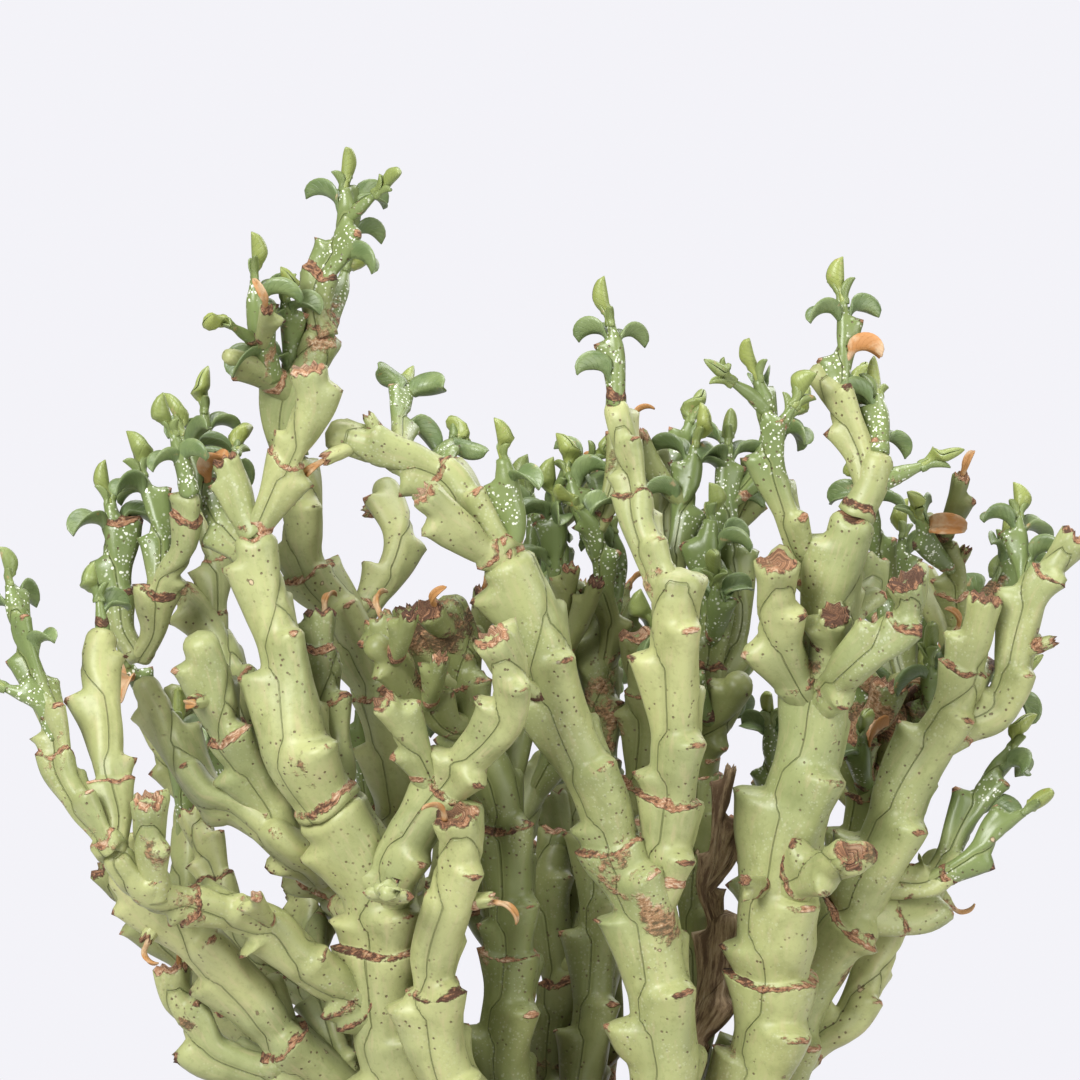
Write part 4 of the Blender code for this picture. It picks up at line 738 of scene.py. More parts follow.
class StemPlan:
    """Where the CAD model's stem carries its tubercles and leaves."""

    def __init__(self, one: Stem, tree: int, around: Surroundings, rng: Random) -> None:
        """Plans one stem.

        Args:
            one: The stem.
            tree: The number of its tree.
            around: What it keeps clear of.
            rng: The stem's own seeded picks.
        """
        self.one, self.tree, self.around, self.rng = one, tree, around, rng
        self.line = PICTURE.to_world(*one.links.T)
        self.length = arc_lengths(self.line)[-1]
        self.sides = 6 if one.width_at(0) >= GROWTH.thin_stem else 4
        self.places, self.pinched = self.ring_places()
        self.centres = smooth_line(self.line, arcs_wanted=self.places)
        self.along, self.side, self.across = frames_along(self.centres)
        self.corners: list[Array] = []
        self.tubercles: list[Tubercle] = []
        self.leaf_places: list[LeafPlace] = []
        self.bud: LeafPlace | None = None
        self.place_rings()
        if one.leaves:
            self.place_leaves()

    def ring_places(self) -> tuple[Array, list[int]]:
        """Spaces the rings.

        Returns:
            The rings' places along the stem, and the numbers of those at joints.
        """
        gap = GROWTH.ring_gap_base + GROWTH.ring_gap_per_width * self.one.width_at(0.5)
        places = np.linspace(0, self.length, max(1, round(self.length / gap)) + 1)
        pinched = []
        for joint in self.one.joint_arcs:
            nearest = int(np.argmin(np.abs(places - joint)))
            if 0 < nearest < len(places) - 1:
                places[nearest] = joint
                pinched.append(nearest)
        return places, pinched

    def place_rings(self) -> None:
        """Notes each ring's corners, its tubercles and the bud."""
        first_rank = int(self.rng.integers(0, GROWTH.tubercle_turn))
        last = len(self.places) - 1
        for index in range(last + 1):
            radius = self.one.width_at(self.places[index] / self.length) / 2
            if index in self.pinched:
                radius *= GROWTH.joint_pinch
            if index == last:
                radius *= GROWTH.end_radius[0 if self.one.leaves else 1]
            for corner in range(self.sides):
                self.corners.append(self.corner(index, corner, radius, first_rank))
        if self.one.leaves:
            self.place_bud()

    def corner(self, index: int, corner: int, radius: float, first_rank: int) -> Array:
        """Places one corner of a ring.

        Args:
            index: The ring's number.
            corner: The corner's number.
            radius: The ring's radius.
            first_rank: The rank that carries the first tubercle.

        Returns:
            The corner's point.
        """
        angle = math.tau * corner / self.sides
        out = math.cos(angle) * self.side[index] + math.sin(angle) * self.across[index]
        reach, lift = radius * GROWTH.corner_reach[corner % 2], 0.0
        free = 0 < index < len(self.places) - 1 and self.centres[index][2] > GROWTH.bare_below
        if corner % 2 == 0 and free:
            gap = self.places[1] - self.places[0]
            phase = GROWTH.tubercle_turn * (corner // 2) / (self.sides // 2)
            lift = (phase - round(phase)) * gap
            grown = self.rng.uniform(*GROWTH.tubercle_range)
            if (index + first_rank - round(phase)) % GROWTH.tubercle_turn == 0:
                lift += GROWTH.tubercle_lift * gap
                height = grown * (GROWTH.tubercle_base + GROWTH.tubercle_per_width * 2 * radius)
                plain = self.centres[index] + out * reach + self.along[index] * lift
                aside = np.cross(self.along[index], out) * radius
                for share, rise, turn in GROWTH.tubercle_probes:
                    probe = plain + out * share * height + aside * turn
                    probe += self.along[index] * rise * gap
                    lack = min(0, self.around.room(probe[None], self.tree)[0] - GROWTH.safe_gap)
                    height = max(0, height + lack / share)
                reach += height
                guards = np.array([plain + out * share * height
                                   for share in GROWTH.guard_spots])
                self.around.claim(guards, GROWTH.tip_guard, self.tree)
                self.tubercles.append(Tubercle(self.places[index] + lift, angle, height))
        foot = self.centres[index] + self.along[index] * lift
        if self.centres[index][2] > GROWTH.stiff_below:
            room = self.around.room((foot + out * reach)[None], self.tree)[0]
            reach = max(GROWTH.least_share * reach, reach + min(0, room - GROWTH.safe_gap))
        return foot + out * reach

    def place_bud(self) -> None:
        """Places the upright young leaf that ends a shoot, if it has room."""
        centre, out = self.centres[-1], self.along[-1]
        half = 0.5 * GROWTH.leaf_width * self.rng.uniform(*GROWTH.bud_widths)
        rise = GROWTH.leaf_length * self.rng.uniform(*GROWTH.bud_lengths)
        tips = np.array([centre + out * rise * share for share in GROWTH.bud_probes])
        if self.around.room(tips, self.tree).min() > half + GROWTH.safe_gap:
            self.around.claim(tips, GROWTH.leaf_width / 2, self.tree)
            self.bud = LeafPlace(centre, self.across[-1], out, rise, 2 * half)

    def place_leaves(self) -> None:
        """Places the recurved leaves below the bud, each where it has room."""
        used: set[tuple[int, int]] = set()
        for leaf in range(self.one.leaves - 1):
            index = len(self.places) - 2 - leaf // 2
            length = GROWTH.leaf_length * self.rng.uniform(*GROWTH.leaf_lengths)
            width = GROWTH.leaf_width * self.rng.uniform(*GROWTH.leaf_widths)
            start = int(self.rng.integers(0, self.sides))
            for step in range(self.sides):
                corner = (start + step) % self.sides
                fits = 0 <= index and (index, corner) not in used
                if fits and self.place_leaf(index, corner, length, width):
                    used.add((index, corner))
                    break

    def place_leaf(self, index: int, corner: int, length: float, width: float) -> bool:
        """Places one leaf on a face between two rings.

        Args:
            index: The lower ring's number.
            corner: The face's first corner.
            length: The leaf's length.
            width: The leaf's width.

        Returns:
            Whether it has room there.
        """
        turn = (corner + 1) % self.sides
        low, high = index * self.sides, (index + 1) * self.sides
        face = (low + corner, low + turn, high + turn, high + corner)
        root = sum(self.corners[number] for number in face) / 4
        out = root - (self.centres[index] + self.centres[index + 1]) / 2
        up = self.along[index]
        out -= up * np.dot(out, up)
        out /= np.linalg.norm(out)
        tests = np.array([root + out * share * length + up * GROWTH.leaf_rise * length
                          for share in GROWTH.leaf_probes])
        if self.around.room(tests, self.tree).min() < width / 2 + GROWTH.safe_gap:
            return False
        self.around.claim(tests, GROWTH.leaf_width / 2, self.tree)
        self.leaf_places.append(LeafPlace(root, out, up, length, width))
        return True


class MeshParts:
    """Points, faces and named values that are gathered into one mesh."""

    def __init__(self) -> None:
        """Starts empty."""
        self.points: list[Array] = []
        self.faces: list[Array] = []
        self.slots: list[Array] = []
        self.values: dict[str, list[Array]] = {}
        self.count = 0

    def add(self, points: Array, faces: list[Array], slot: int, **values: Array) -> None:
        """Adds one closed body.

        Args:
            points: One point a row.
            faces: Arrays of three or of four point numbers a row.
            slot: The material slot of its faces.
            **values: One row of three numbers a point, for each named attribute.
        """
        self.points.append(points)
        for rows in faces:
            self.faces.append(rows + self.count)
            self.slots.append(np.full(len(rows), slot, dtype=np.int32))
        for name, rows in values.items():
            self.values.setdefault(name, []).append(rows)
        self.count += len(points)

    def add_tube(self, points: Array, rings: int, slot: int, **values: Array) -> None:
        """Adds a tube with closed ends.

        Args:
            points: The rings' points, then the middle of its near end and of its far end.
            rings: How many rings it has.
            slot: The material slot of its faces.
            **values: One row of three numbers a point, for each named attribute.
        """
        size = len(points) - 2
        ring = np.arange(size).reshape(rings, -1)
        turn = np.roll(ring, -1, axis=1)
        walls = np.stack([ring[:-1], turn[:-1], turn[1:], ring[1:]], axis=-1).reshape(-1, 4)
        middle = np.full_like(ring[0], size)
        ends = np.vstack([np.stack([turn[0], ring[0], middle], axis=-1),
                          np.stack([ring[-1], turn[-1], middle + 1], axis=-1)])
        self.add(points, [walls, ends], slot, **values)

    def make(self, name: str, materials: list[Material]) -> bpy.types.Object:
        """Makes the mesh object.

        Args:
            name: The object's name.
            materials: Its material slots.

        Returns:
            The object, shaded smooth.
        """
        mesh = bpy.data.meshes.new(name)
        loops = np.concatenate([rows.ravel() for rows in self.faces]).astype(np.int32)
        totals = np.concatenate([np.full(len(rows), rows.shape[1]) for rows in self.faces])
        mesh.vertices.add(self.count)
        mesh.vertices.foreach_set("co", np.vstack(self.points).astype(np.float32).ravel())
        mesh.loops.add(len(loops))
        mesh.loops.foreach_set("vertex_index", loops)
        mesh.polygons.add(len(totals))
        starts = np.concatenate([[0], np.cumsum(totals)[:-1]]).astype(np.int32)
        mesh.polygons.foreach_set("loop_start", starts)
        mesh.polygons.foreach_set("material_index", np.concatenate(self.slots))
        mesh.update(calc_edges=True)
        for label, rows in self.values.items():
            layer = mesh.attributes.new(label, "FLOAT_VECTOR", "POINT")
            layer.data.foreach_set("vector", np.vstack(rows).astype(np.float32).ravel())
        for material in materials:
            mesh.materials.append(material)
        mesh.shade_smooth()
        item = bpy.data.objects.new(name, mesh)
        bpy.context.scene.collection.objects.link(item)
        return item


@dataclass(frozen=True)
class EndRule:
    """How a stem narrows near its end, and how far its last point rises over its radius."""

    reach: float
    narrows: float
    power: int
    rise: float


class Ending(Enum):
    """How a stem ends; a blunt end's point sinks into its scar."""

    LEAFY = EndRule(5 * MM, 0.38, 1, 0.5)
    BLUNT = EndRule(1 * MM, 0, 1, -0.12)
    FORKED = EndRule(2 * MM, 0.25, 2, 0.35)


@dataclass(frozen=True)
class SkinRule:
    """The sizes of a fine stem's surface."""

    ring_step: float = 0.95 * MM
    sides: int = 28
    thin_sides: int = 20
    height_share: float = 0.88
    ridge_share: float = 1.35
    drop: float = 1.3 * MM
    drop_per_height: float = 0.45
    hook: float = 0.3
    narrow: float = 0.26
    broad: float = 0.58
    seam_low: float = 0.1
    seam_high: float = 0.95
    seam_above: float = 1.2
    groove: float = 0.55 * MM
    rise_power: float = 1.3
    flank_power: float = 2.2
    tooth: float = 0.5 * MM
    tooth_form: tuple[float, ...] = (0.2 * MM, 0.9 * MM, 0.26, 2)
    edge_form: tuple[float, ...] = (0.7 * MM, 0.6 * MM, 0.42, 4)
    toothed: float = 1.5 * MM
    worn: Pair = (0.45, 1)
    bulge: Pair = (0.2 * MM, 3.2 * MM)
    lumps: Pair = (0.025, 0.05)
    lump_length: float = 14 * MM
    least_room: float = 0.35 * MM
    least_share: float = 0.62
    green_most: float = 0.3
    green_tip: Pair = (34 * MM, 12 * MM)
    woody: Pair = (165 * MM, 140 * MM)
    unmarked: Triple = (60.0, 80.0, 100.0)
    cut_flare: Pair = (6 * MM, 1.2 * MM)
    cut_points: tuple[int, int] = (2, 5)
    cut_ragged: Pair = (0.02, 0.17)
    cut_teeth: float = 1.3 * MM
    cut_rim: Pair = (1.5 * MM, 0.3 * MM)
    cut_brown: Pair = (0.55, 0.95)
    cut_hollow: Pair = (0.9 * MM, 0)
    cut_inward: float = 0.26
    scar_brown: Pair = (0.25, 0.75)
    wave_lengths: Pair = (0.7, 1.5)
    wave_drift: float = 1.7
    seam_widens: float = 2
    seam_ends: float = 3
    tooth_brown: float = 1.1
    edge_brown: float = 0.62
    # painted shade in the grooves between ranks and a painted highlight on the raised tubercles,
    # laid into the tone's third channel
    groove_painted_shade: float = 0.2
    rise_painted_highlight: float = 0.22
    risen: float = 3 * MM
    batch: int = 1400


SKIN = SkinRule()


def peak(step: Array, turn: Array, place: float, length: float, width: float,
         power: float) -> Array:
    """Gives a lump from 0 to 1 that falls off along a stem from its place, and round the stem."""
    return np.exp(-((step - place) / length) ** 2) * np.exp(-(turn / width) ** power)


@dataclass(frozen=True)
class CollarRule:
    """The sizes of a joint's ragged, flared rim and of the narrow papery neck above it."""

    over_mother: float = 1.4 * MM
    ragged: float = 0.8 * MM
    cornered: float = 0.5 * MM
    slip: float = 3 * MM
    length: float = 9 * MM
    lip: float = 0.9 * MM
    flare: Pair = (0.11, 0.05)
    neck: float = 1.9 * MM
    neck_depth: Pair = (0.10, 0.07)
    rim: Pair = (0.4 * MM, 1.3 * MM)
    paper: Pair = (2.2 * MM, 1.8 * MM)
    skin_starts: Pair = (-0.5 * MM, -1.6 * MM)
    skin_brown: Pair = (0.35, 0.85)
    wave: float = 90 * MM
    turned: float = 0.5
    rim_brown: float = 0.62
    skin_full: float = 0.2 * MM
    skin_fades: float = 0.4
    skin_patchy: Pair = (0.8, 0.5)


COLLAR = CollarRule()


class StemSkin:
    """The fine surface of one stem."""

    def __init__(self, plan: StemPlan, painted_shade_and_tone: float, dead: bool, ending: Ending,
                 mother_radius: float) -> None:
        """Works out the surface.

        Args:
            plan: The stem's plan.
            painted_shade_and_tone: The painted shade of its tree's place in the clump plus its own
                random tone, from 0 to 1.
            dead: Whether it is dry all over.
            ending: How it ends.
            mother_radius: The radius of what it grows from, or 0 for a trunk.
        """
        self.plan, self.painted_shade_and_tone, self.dead, self.ending = plan, painted_shade_and_tone, dead, ending
        self.mother_radius = mother_radius
        self.rng = np.random.default_rng(int(plan.length * 1e6) % 99991)
        self.sides = SKIN.sides if plan.sides == 6 else SKIN.thin_sides
        count = max(6, round(plan.length / SKIN.ring_step) + 1)
        self.arcs = np.linspace(0, plan.length, count)
        self.centres = smooth_line(plan.line, arcs_wanted=self.arcs)
        self.along, side, across = frames_along(self.centres)
        self.angles = math.tau * np.arange(self.sides) / self.sides
        self.out = (np.cos(self.angles)[None, :, None] * side[:, None, :]
                    + np.sin(self.angles)[None, :, None] * across[:, None, :])
        self.brown = np.zeros((count, self.sides))
        self.slip = np.zeros((count, self.sides))

    def waves(self, scale: float, turns: int = 3) -> Array:
        """Makes smooth seeded lumps over the surface.

        Args:
            scale: The lumps' length along the stem.
            turns: The most lumps round it.

        Returns:
            Numbers from about -1 to 1, one row a ring.
        """
        total = np.zeros((len(self.arcs), self.sides))
        for turn in range(1, turns + 1):
            phase, drift = self.rng.uniform(0, math.tau, 2)
            rate = math.tau / (scale * self.rng.uniform(*SKIN.wave_lengths))
            total += np.sin(turn * self.angles[None, :] + rate * self.arcs[:, None] + phase)
            total += np.sin(rate * SKIN.wave_drift * self.arcs[:, None] + drift)
        return total / (2 * turns)

    def tubercles(self, radius: Array) -> tuple[Array, Array]:
        """Raises the tubercles and measures the seams between their ranks.

        Args:
            radius: The plain radius at each ring.

        Returns:
            The height over the plain surface, and for each rank the distance to its cells.
        """
        plan = self.plan
        gap = plan.places[1] - plan.places[0]
        height = np.zeros((len(self.arcs), self.sides))
        ranks = sorted({item.angle for item in plan.tubercles}) or [0.0]
        reach = np.tile(SKIN.unmarked, (len(self.arcs), self.sides, 1))
        for item in plan.tubercles:
            step = self.arcs[:, None] - item.arc
            turn = np.abs((self.angles[None, :] - item.angle + math.pi) % math.tau - math.pi)
            length = SKIN.ridge_share * gap
            share = np.clip(1 + step / length, 0, 1)
            drop = SKIN.drop + SKIN.drop_per_height * item.height
            up = np.where(step > 0, 1 - smooth_step(step, 0, drop), share ** SKIN.rise_power)
            width = SKIN.narrow + (SKIN.broad - SKIN.narrow) * share
            width = np.where(step > 0, SKIN.broad, width)
            bump = item.height * SKIN.height_share * up
            bump = bump * np.exp(-(turn / width) ** SKIN.flank_power)
            height = np.maximum(height, bump)
            flank = radius[:, None] / MM
            share = np.clip(1 + step / (SKIN.seam_widens * gap), 0, 1)
            half = flank * (SKIN.seam_low + (SKIN.seam_high - SKIN.seam_low) * share)
            cell = flank * turn - half + SKIN.seam_above * np.clip(step, 0, None) / MM
            cell = np.where(step < -SKIN.seam_ends * gap, max(SKIN.unmarked), cell)
            rank = ranks.index(item.angle) % 3
            reach[:, :, rank] = np.minimum(reach[:, :, rank], cell)
            tooth = peak(step, turn, *SKIN.tooth_form)
            height += SKIN.tooth * tooth * (item.height > SKIN.toothed)
            edge = peak(step, turn, *SKIN.edge_form)
            worn = np.maximum(tooth * SKIN.tooth_brown, edge * SKIN.edge_brown)
            self.brown = np.maximum(self.brown, worn * self.rng.uniform(*SKIN.worn))
        return height, reach

    def collars(self, radius: Array) -> Array:
        """Shapes the joints: a flared ragged rim, and a narrow papery neck above it.

        Args:
            radius: The plain radius at each ring.

        Returns:
            The height over the plain surface.
        """
        places = [(arc, 1.0) for arc in self.plan.one.joint_arcs]
        if self.mother_radius:
            places.append((self.mother_radius + COLLAR.over_mother, 0.0))
        height = np.zeros((len(self.arcs), self.sides))
        ranks = 3 if self.plan.sides == 6 else 2
        for place, full in places:
            place = self.arcs[np.argmin(np.abs(self.arcs - place))]
            corners = np.cos(ranks * (self.angles - self.rng.uniform(0, COLLAR.turned)))
            ragged = COLLAR.ragged * self.waves(COLLAR.wave, 6) + COLLAR.cornered * corners[None, :]
            step = self.arcs[:, None] - place + np.zeros_like(height)
            self.slip += ragged * np.exp(-(step / COLLAR.slip) ** 2)
            flare = band(step, -COLLAR.length, 0, 0, COLLAR.lip)
            flare *= COLLAR.flare[0] + COLLAR.flare[1] * corners[None, :]
            neck = band(step, 0, COLLAR.lip, COLLAR.neck, COLLAR.length)
            depth = COLLAR.neck_depth[0] + COLLAR.neck_depth[1] * full
            height += radius[:, None] * (full * flare - depth * neck)
            rim = band(step, -COLLAR.rim[1], 0, *COLLAR.rim)
            low = COLLAR.skin_starts[0 if full else 1]
            high = COLLAR.paper[0] + COLLAR.paper[1] * self.waves(COLLAR.wave, 3)
            skin = band(step, low, COLLAR.skin_full, COLLAR.skin_fades * high, high)
            brown, (least, most) = self.rng.uniform(*COLLAR.skin_brown), COLLAR.skin_patchy
            skin *= brown * (least + most * self.waves(COLLAR.wave, 2))
            rim *= COLLAR.rim_brown
            self.brown = np.maximum(self.brown, np.maximum(rim * full, skin))
        return height

    def build(self, parts: MeshParts) -> None:
        """Adds the stem's tube to a mesh.

        Args:
            parts: What it is added to.
        """
        plan, end = self.plan, self.ending.value
        radius = plan.one.width_at(self.arcs / plan.length) / 2
        radius = radius * (1 - end.narrows * self.near_tip(end.reach) ** end.power)
        height, reach = self.tubercles(radius)
        nearest = np.sort(reach, axis=2)
        apart = (nearest[:, :, 1] - nearest[:, :, 0]) * MM
        bulge = smooth_step(apart, *SKIN.bulge) - 1
        height = height + self.collars(radius) + SKIN.groove * bulge
        woody = smooth_step(self.centres[:, 2], *SKIN.woody)[:, None]
        self.brown = np.maximum(self.brown, woody)
        lumps = SKIN.lumps[0] + SKIN.lumps[1] * woody
        distance = radius[:, None] * (1 + lumps * self.waves(SKIN.lump_length, 5)) + height
        if self.ending is Ending.BLUNT:
            distance = self.blunt_top(distance, radius)
        hook = SKIN.hook * np.clip(height, 0, None) + self.slip
        points = (self.centres[:, None, :] + self.out * distance[..., None]
                  + self.along[:, None, :] * hook[..., None])
        points = self.kept_clear(points)
        youth = np.full_like(distance, self.rng.uniform(0, SKIN.green_most))
        if self.ending is Ending.LEAFY:
            youth += self.near_tip(*SKIN.green_tip)[:, None]
        if self.dead:
            self.brown = np.ones_like(self.brown)
        foot, top = self.centres[0], self.centres[-1] + self.along[-1] * (radius[-1] * end.rise)
        points = np.vstack([points.reshape(-1, 3), foot, top])
        # painted relief: painted shade in the grooves and a painted highlight on the raised
        # tubercles, added to the stem's painted shade and tone
        risen = np.clip(height / SKIN.risen, 0, 1)
        relief = SKIN.groove_painted_shade * bulge + SKIN.rise_painted_highlight * risen
        youth = np.clip(youth, 0, 1)
        tone = np.stack([self.brown, youth, self.painted_shade_and_tone - relief], axis=-1)
        tone = np.vstack([tone.reshape(-1, 3), tone[0, 0], tone[-1].mean(axis=0)])
        if self.ending is Ending.BLUNT:
            tone[-1, 0] = self.rng.uniform(*SKIN.scar_brown)
        cells = np.vstack([reach.reshape(-1, 3), reach[0, 0], reach[-1, 0]])
        turn = np.broadcast_to(self.angles[None, :], distance.shape) * np.median(radius) * 1e3
        flow = np.stack([turn, np.broadcast_to(self.arcs[:, None] * 1e3, distance.shape),
                         np.zeros_like(distance)], axis=-1)
        flow = np.vstack([flow.reshape(-1, 3), flow[0, 0], flow[-1, 0]])
        parts.add_tube(points, len(self.arcs), 0, cells=cells, tone=tone, flow=flow)

    def near_tip(self, start: float, end: float = 0.0) -> Array:
        """Eases from 0 to 1 between two distances from the tip."""
        return smooth_step(self.arcs, self.plan.length - start, self.plan.length - end)

    def blunt_top(self, distance: Array, radius: Array) -> Array:
        """Widens and browns the rim of a cut top and gives it a ragged edge.

        Args:
            distance: The surface's distance from the centre line.
            radius: The plain radius at each ring.

        Returns:
            The new distances.
        """
        flare, rim, hollow = (self.near_tip(*zone)[:, None]
                              for zone in (SKIN.cut_flare, SKIN.cut_rim, SKIN.cut_hollow))
        turns = self.rng.integers(*SKIN.cut_points)
        points = np.abs(np.sin(self.angles * turns + self.rng.uniform(0, 3)))
        low, high = SKIN.cut_ragged
        ragged = flare * (low + high * points ** 3) * radius[:, None]
        self.slip += flare * SKIN.cut_teeth * (points ** 4 - 0.2)
        self.brown = np.maximum(self.brown, rim * self.rng.uniform(*SKIN.cut_brown))
        return (distance + ragged) * (1 - SKIN.cut_inward * hollow)

    def kept_clear(self, points: Array) -> Array:
        """Draws points in where another tree stands too close.

        Args:
            points: The surface's points, one row a ring.

        Returns:
            The points, moved towards the centre line where need be.
        """
        flat = points.reshape(-1, 3)
        spine = np.repeat(self.centres, self.sides, axis=0)
        for start in range(0, len(flat), SKIN.batch):
            rows = slice(start, start + SKIN.batch)
            room = self.plan.around.room(flat[rows], self.plan.tree)
            lack = np.clip(SKIN.least_room - room, 0, None)
            lack[spine[rows, 2] < GROWTH.stiff_below] = 0
            away = flat[rows] - spine[rows]
            size = np.linalg.norm(away, axis=1)
            share = np.maximum(SKIN.least_share, 1 - lack / np.maximum(size, 1e-6))
            flat[rows] = spine[rows] + away * share[:, None]
        return flat.reshape(points.shape)


@dataclass(frozen=True)
class LeafRule:
    """The form of one kind of leaf: how it leans, folds and how fresh it is.

    The outline is the powers of its widening and its narrowing, and the peak of both.
    """

    lean: Pair
    crease: float
    roll: float
    breadth: float
    twist: float
    sunk: float = 1.2 * MM
    fresh: float = 0.0
    rows: int = 16
    columns: int = 9
    stalk_ends: float = 0.2
    stalk_fades: Pair = (0.22, 0.42)
    thins: Pair = (0.1, 0.36)
    folds: Pair = (0.08, 0.34)
    turns: Pair = (0.1, 0.6)
    stalk: float = 0.75 * MM
    stalk_depth: float = 1.7 * MM
    blade_depth: float = 0.75 * MM
    rim: float = 0.06 * MM
    steps: int = 32
    wander: float = 8
    stretch: float = 1.08
    dip_mm: float = 0.4
    outline: Triple = (0.5, 0.62, 0.49)
    thin_tip: float = 0.6
    freshness: Pair = (0.35, 1)
    seamless: float = 9


class LeafKind(Enum):
    """The kinds of leaf, each with its form."""

    OPEN = LeafRule(lean=(60, -55), crease=0.55, roll=1.0, breadth=0.68, twist=0.9)
    BUD = LeafRule(lean=(94, 72), crease=0.4, roll=2.6, breadth=1.15, twist=3.1, sunk=0, fresh=1)
    BRACT = LeafRule(lean=(80, 42), crease=0.5, roll=1.5, breadth=0.8, twist=0.3, sunk=-0.5 * MM,
                     fresh=0.5)
    CURL = LeafRule(lean=(100, -25), crease=0.4, roll=0.9, breadth=0.3, twist=0.5, sunk=0,
                    stalk=0.6 * MM, stalk_depth=1.2 * MM)


def add_leaf(parts: MeshParts, place: LeafPlace, kind: LeafKind, brown: float, rng: Random) -> None:
    """Adds one leaf: a thick stalk, then a blade that is folded along its midrib.

    Args:
        parts: What it is added to.
        place: Its root, directions and size.
        kind: What kind of leaf it is.
        brown: How withered it is, from 0 to 1.
        rng: Its seeded picks.
    """
    rule = kind.value
    t = np.linspace(0, 1, rule.rows)
    wander = rng.uniform(-rule.wander, rule.wander)
    lean = np.radians(np.interp(t, (0, 1), rule.lean) + wander)
    slope = np.cos(lean)[:, None] * place.out + np.sin(lean)[:, None] * place.up
    steps = slope * (rule.stretch * place.length / (rule.rows - 1))
    spine = place.root - place.out * rule.sunk - place.up * rule.dip_mm * MM
    spine = spine + np.vstack([np.zeros(3), np.cumsum((steps[1:] + steps[:-1]) / 2, axis=0)])
    plain = np.sin(lean)[:, None] * -place.out + np.cos(lean)[:, None] * place.up
    flank = np.cross(slope, plain)
    turn = (rng.uniform(-rule.twist, rule.twist) * smooth_step(t, *rule.turns))[:, None]
    face = plain * np.cos(turn) + flank * np.sin(turn)
    wide = np.cross(slope, face)
    blade = np.clip((t - rule.stalk_ends) / (1 - rule.stalk_ends), 0, 1)
    widening, narrowing, most = rule.outline
    half = rule.breadth * place.width * blade ** widening * (1 - blade) ** narrowing / most
    half = np.maximum(half, rule.stalk * (1 - smooth_step(t, *rule.stalk_fades))) + rule.rim
    depth = rule.stalk_depth + (rule.blade_depth - rule.stalk_depth) * smooth_step(t, *rule.thins)
    u = np.linspace(-1, 1, rule.columns)
    fine = np.linspace(0, 1, rule.steps + 1)
    rings = []
    for row in range(rule.rows):
        folded = smooth_step(t[row], *rule.folds)
        bend = folded * (rule.crease + (rule.roll - rule.crease) * fine)
        reach, rise = (np.concatenate([[0], np.cumsum(part(bend[1:]) / rule.steps)])
                       for part in (np.cos, np.sin))
        sideways = half[row] * np.sign(u) * np.interp(np.abs(u), fine, reach)
        lift = half[row] * np.interp(np.abs(u), fine, rise)
        angle = np.sign(u) * np.interp(np.abs(u), fine, bend)
        middle = spine[row] + sideways[:, None] * wide[row] + lift[:, None] * face[row]
        away = np.cos(angle)[:, None] * face[row] - np.sin(angle)[:, None] * wide[row]
        edge = np.sqrt(np.clip(1 - u ** 2, 0, 1)) * 0.5 * depth[row]
        edge = (edge * (1 - rule.thin_tip * t[row] ** 3) + rule.rim)[:, None]
        rings.append(np.vstack([middle + away * edge, (middle - away * edge)[::-1]]))
    points = np.vstack([*rings, rings[0].mean(axis=0), rings[-1].mean(axis=0)])
    sides = 2 * rule.columns
    size = rule.rows * sides
    v = np.concatenate([u, u[::-1]])
    flow = np.stack([np.tile(v, rule.rows), np.repeat(t, sides), np.full(size, brown)], axis=-1)
    flow = np.vstack([flow, (0, 0, brown), (0, 1, brown)])
    tone = np.zeros_like(flow)
    tone[:, 1] = rule.fresh * rng.uniform(*rule.freshness)
    cells = np.full_like(flow, rule.seamless)
    parts.add_tube(points, rule.rows, 1, cells=cells, tone=tone, flow=flow)


def add_bud(parts: MeshParts, place: LeafPlace, rng: Random) -> None:
    """Adds the closed young leaf on a tip, with two small ones at its foot.

    Args:
        parts: What it is added to.
        place: The young leaf's place.
        rng: Its seeded picks.
    """
    add_leaf(parts, place, LeafKind.BUD, 0.0, rng)
    turn = rng.uniform(0, math.tau)
    side = np.cross(place.up, place.out)
    for step in (0, rng.uniform(*TREE.bract_turns)):
        out = place.out * math.cos(turn + step) + side * math.sin(turn + step)
        length = place.length * rng.uniform(*TREE.bract_lengths)
        small = LeafPlace(place.root, out, place.up, length, TREE.bract_width * place.width)
        add_leaf(parts, small, LeafKind.BRACT, 0.0, rng)


def add_curl(parts: MeshParts, plan: StemPlan, rng: Random) -> None:
    """Adds a dry flower stalk that curls off a cut top, if it has room.

    Args:
        parts: What it is added to.
        plan: The stem's plan.
        rng: Its seeded picks.
    """
    turn, length = rng.uniform(0, math.tau), rng.uniform(*TREE.curl_lengths_mm) * MM
    up = plan.along[-1]
    out = plan.side[-1] * math.cos(turn) + plan.across[-1] * math.sin(turn)
    root = plan.centres[-1] + out * TREE.curl_spot * plan.one.width_at(1)
    away, above = TREE.curl_tip
    tip = root + out * away * length + up * above * length
    if plan.around.room(tip[None], plan.tree)[0] > TREE.curl_room:
        place = LeafPlace(root, out, up, length, TREE.curl_width)
        add_leaf(parts, place, LeafKind.CURL, TREE.curl_brown, rng)


class Shade(Enum):
    """The painted shade of each group of trees, darker deep in the clump, from 0, pale, to 1, dark.
    """

    FRONT = 0.0
    INNER = 0.7
    FAR = 0.5

    @classmethod
    def of(cls, name: str) -> Shade:
        """Gives the painted shade of a tree by its node's name."""
        inner = name.startswith(("inner", "low_back", "right_back"))
        return cls.FAR if name.startswith("far") else cls.INNER if inner else cls.FRONT


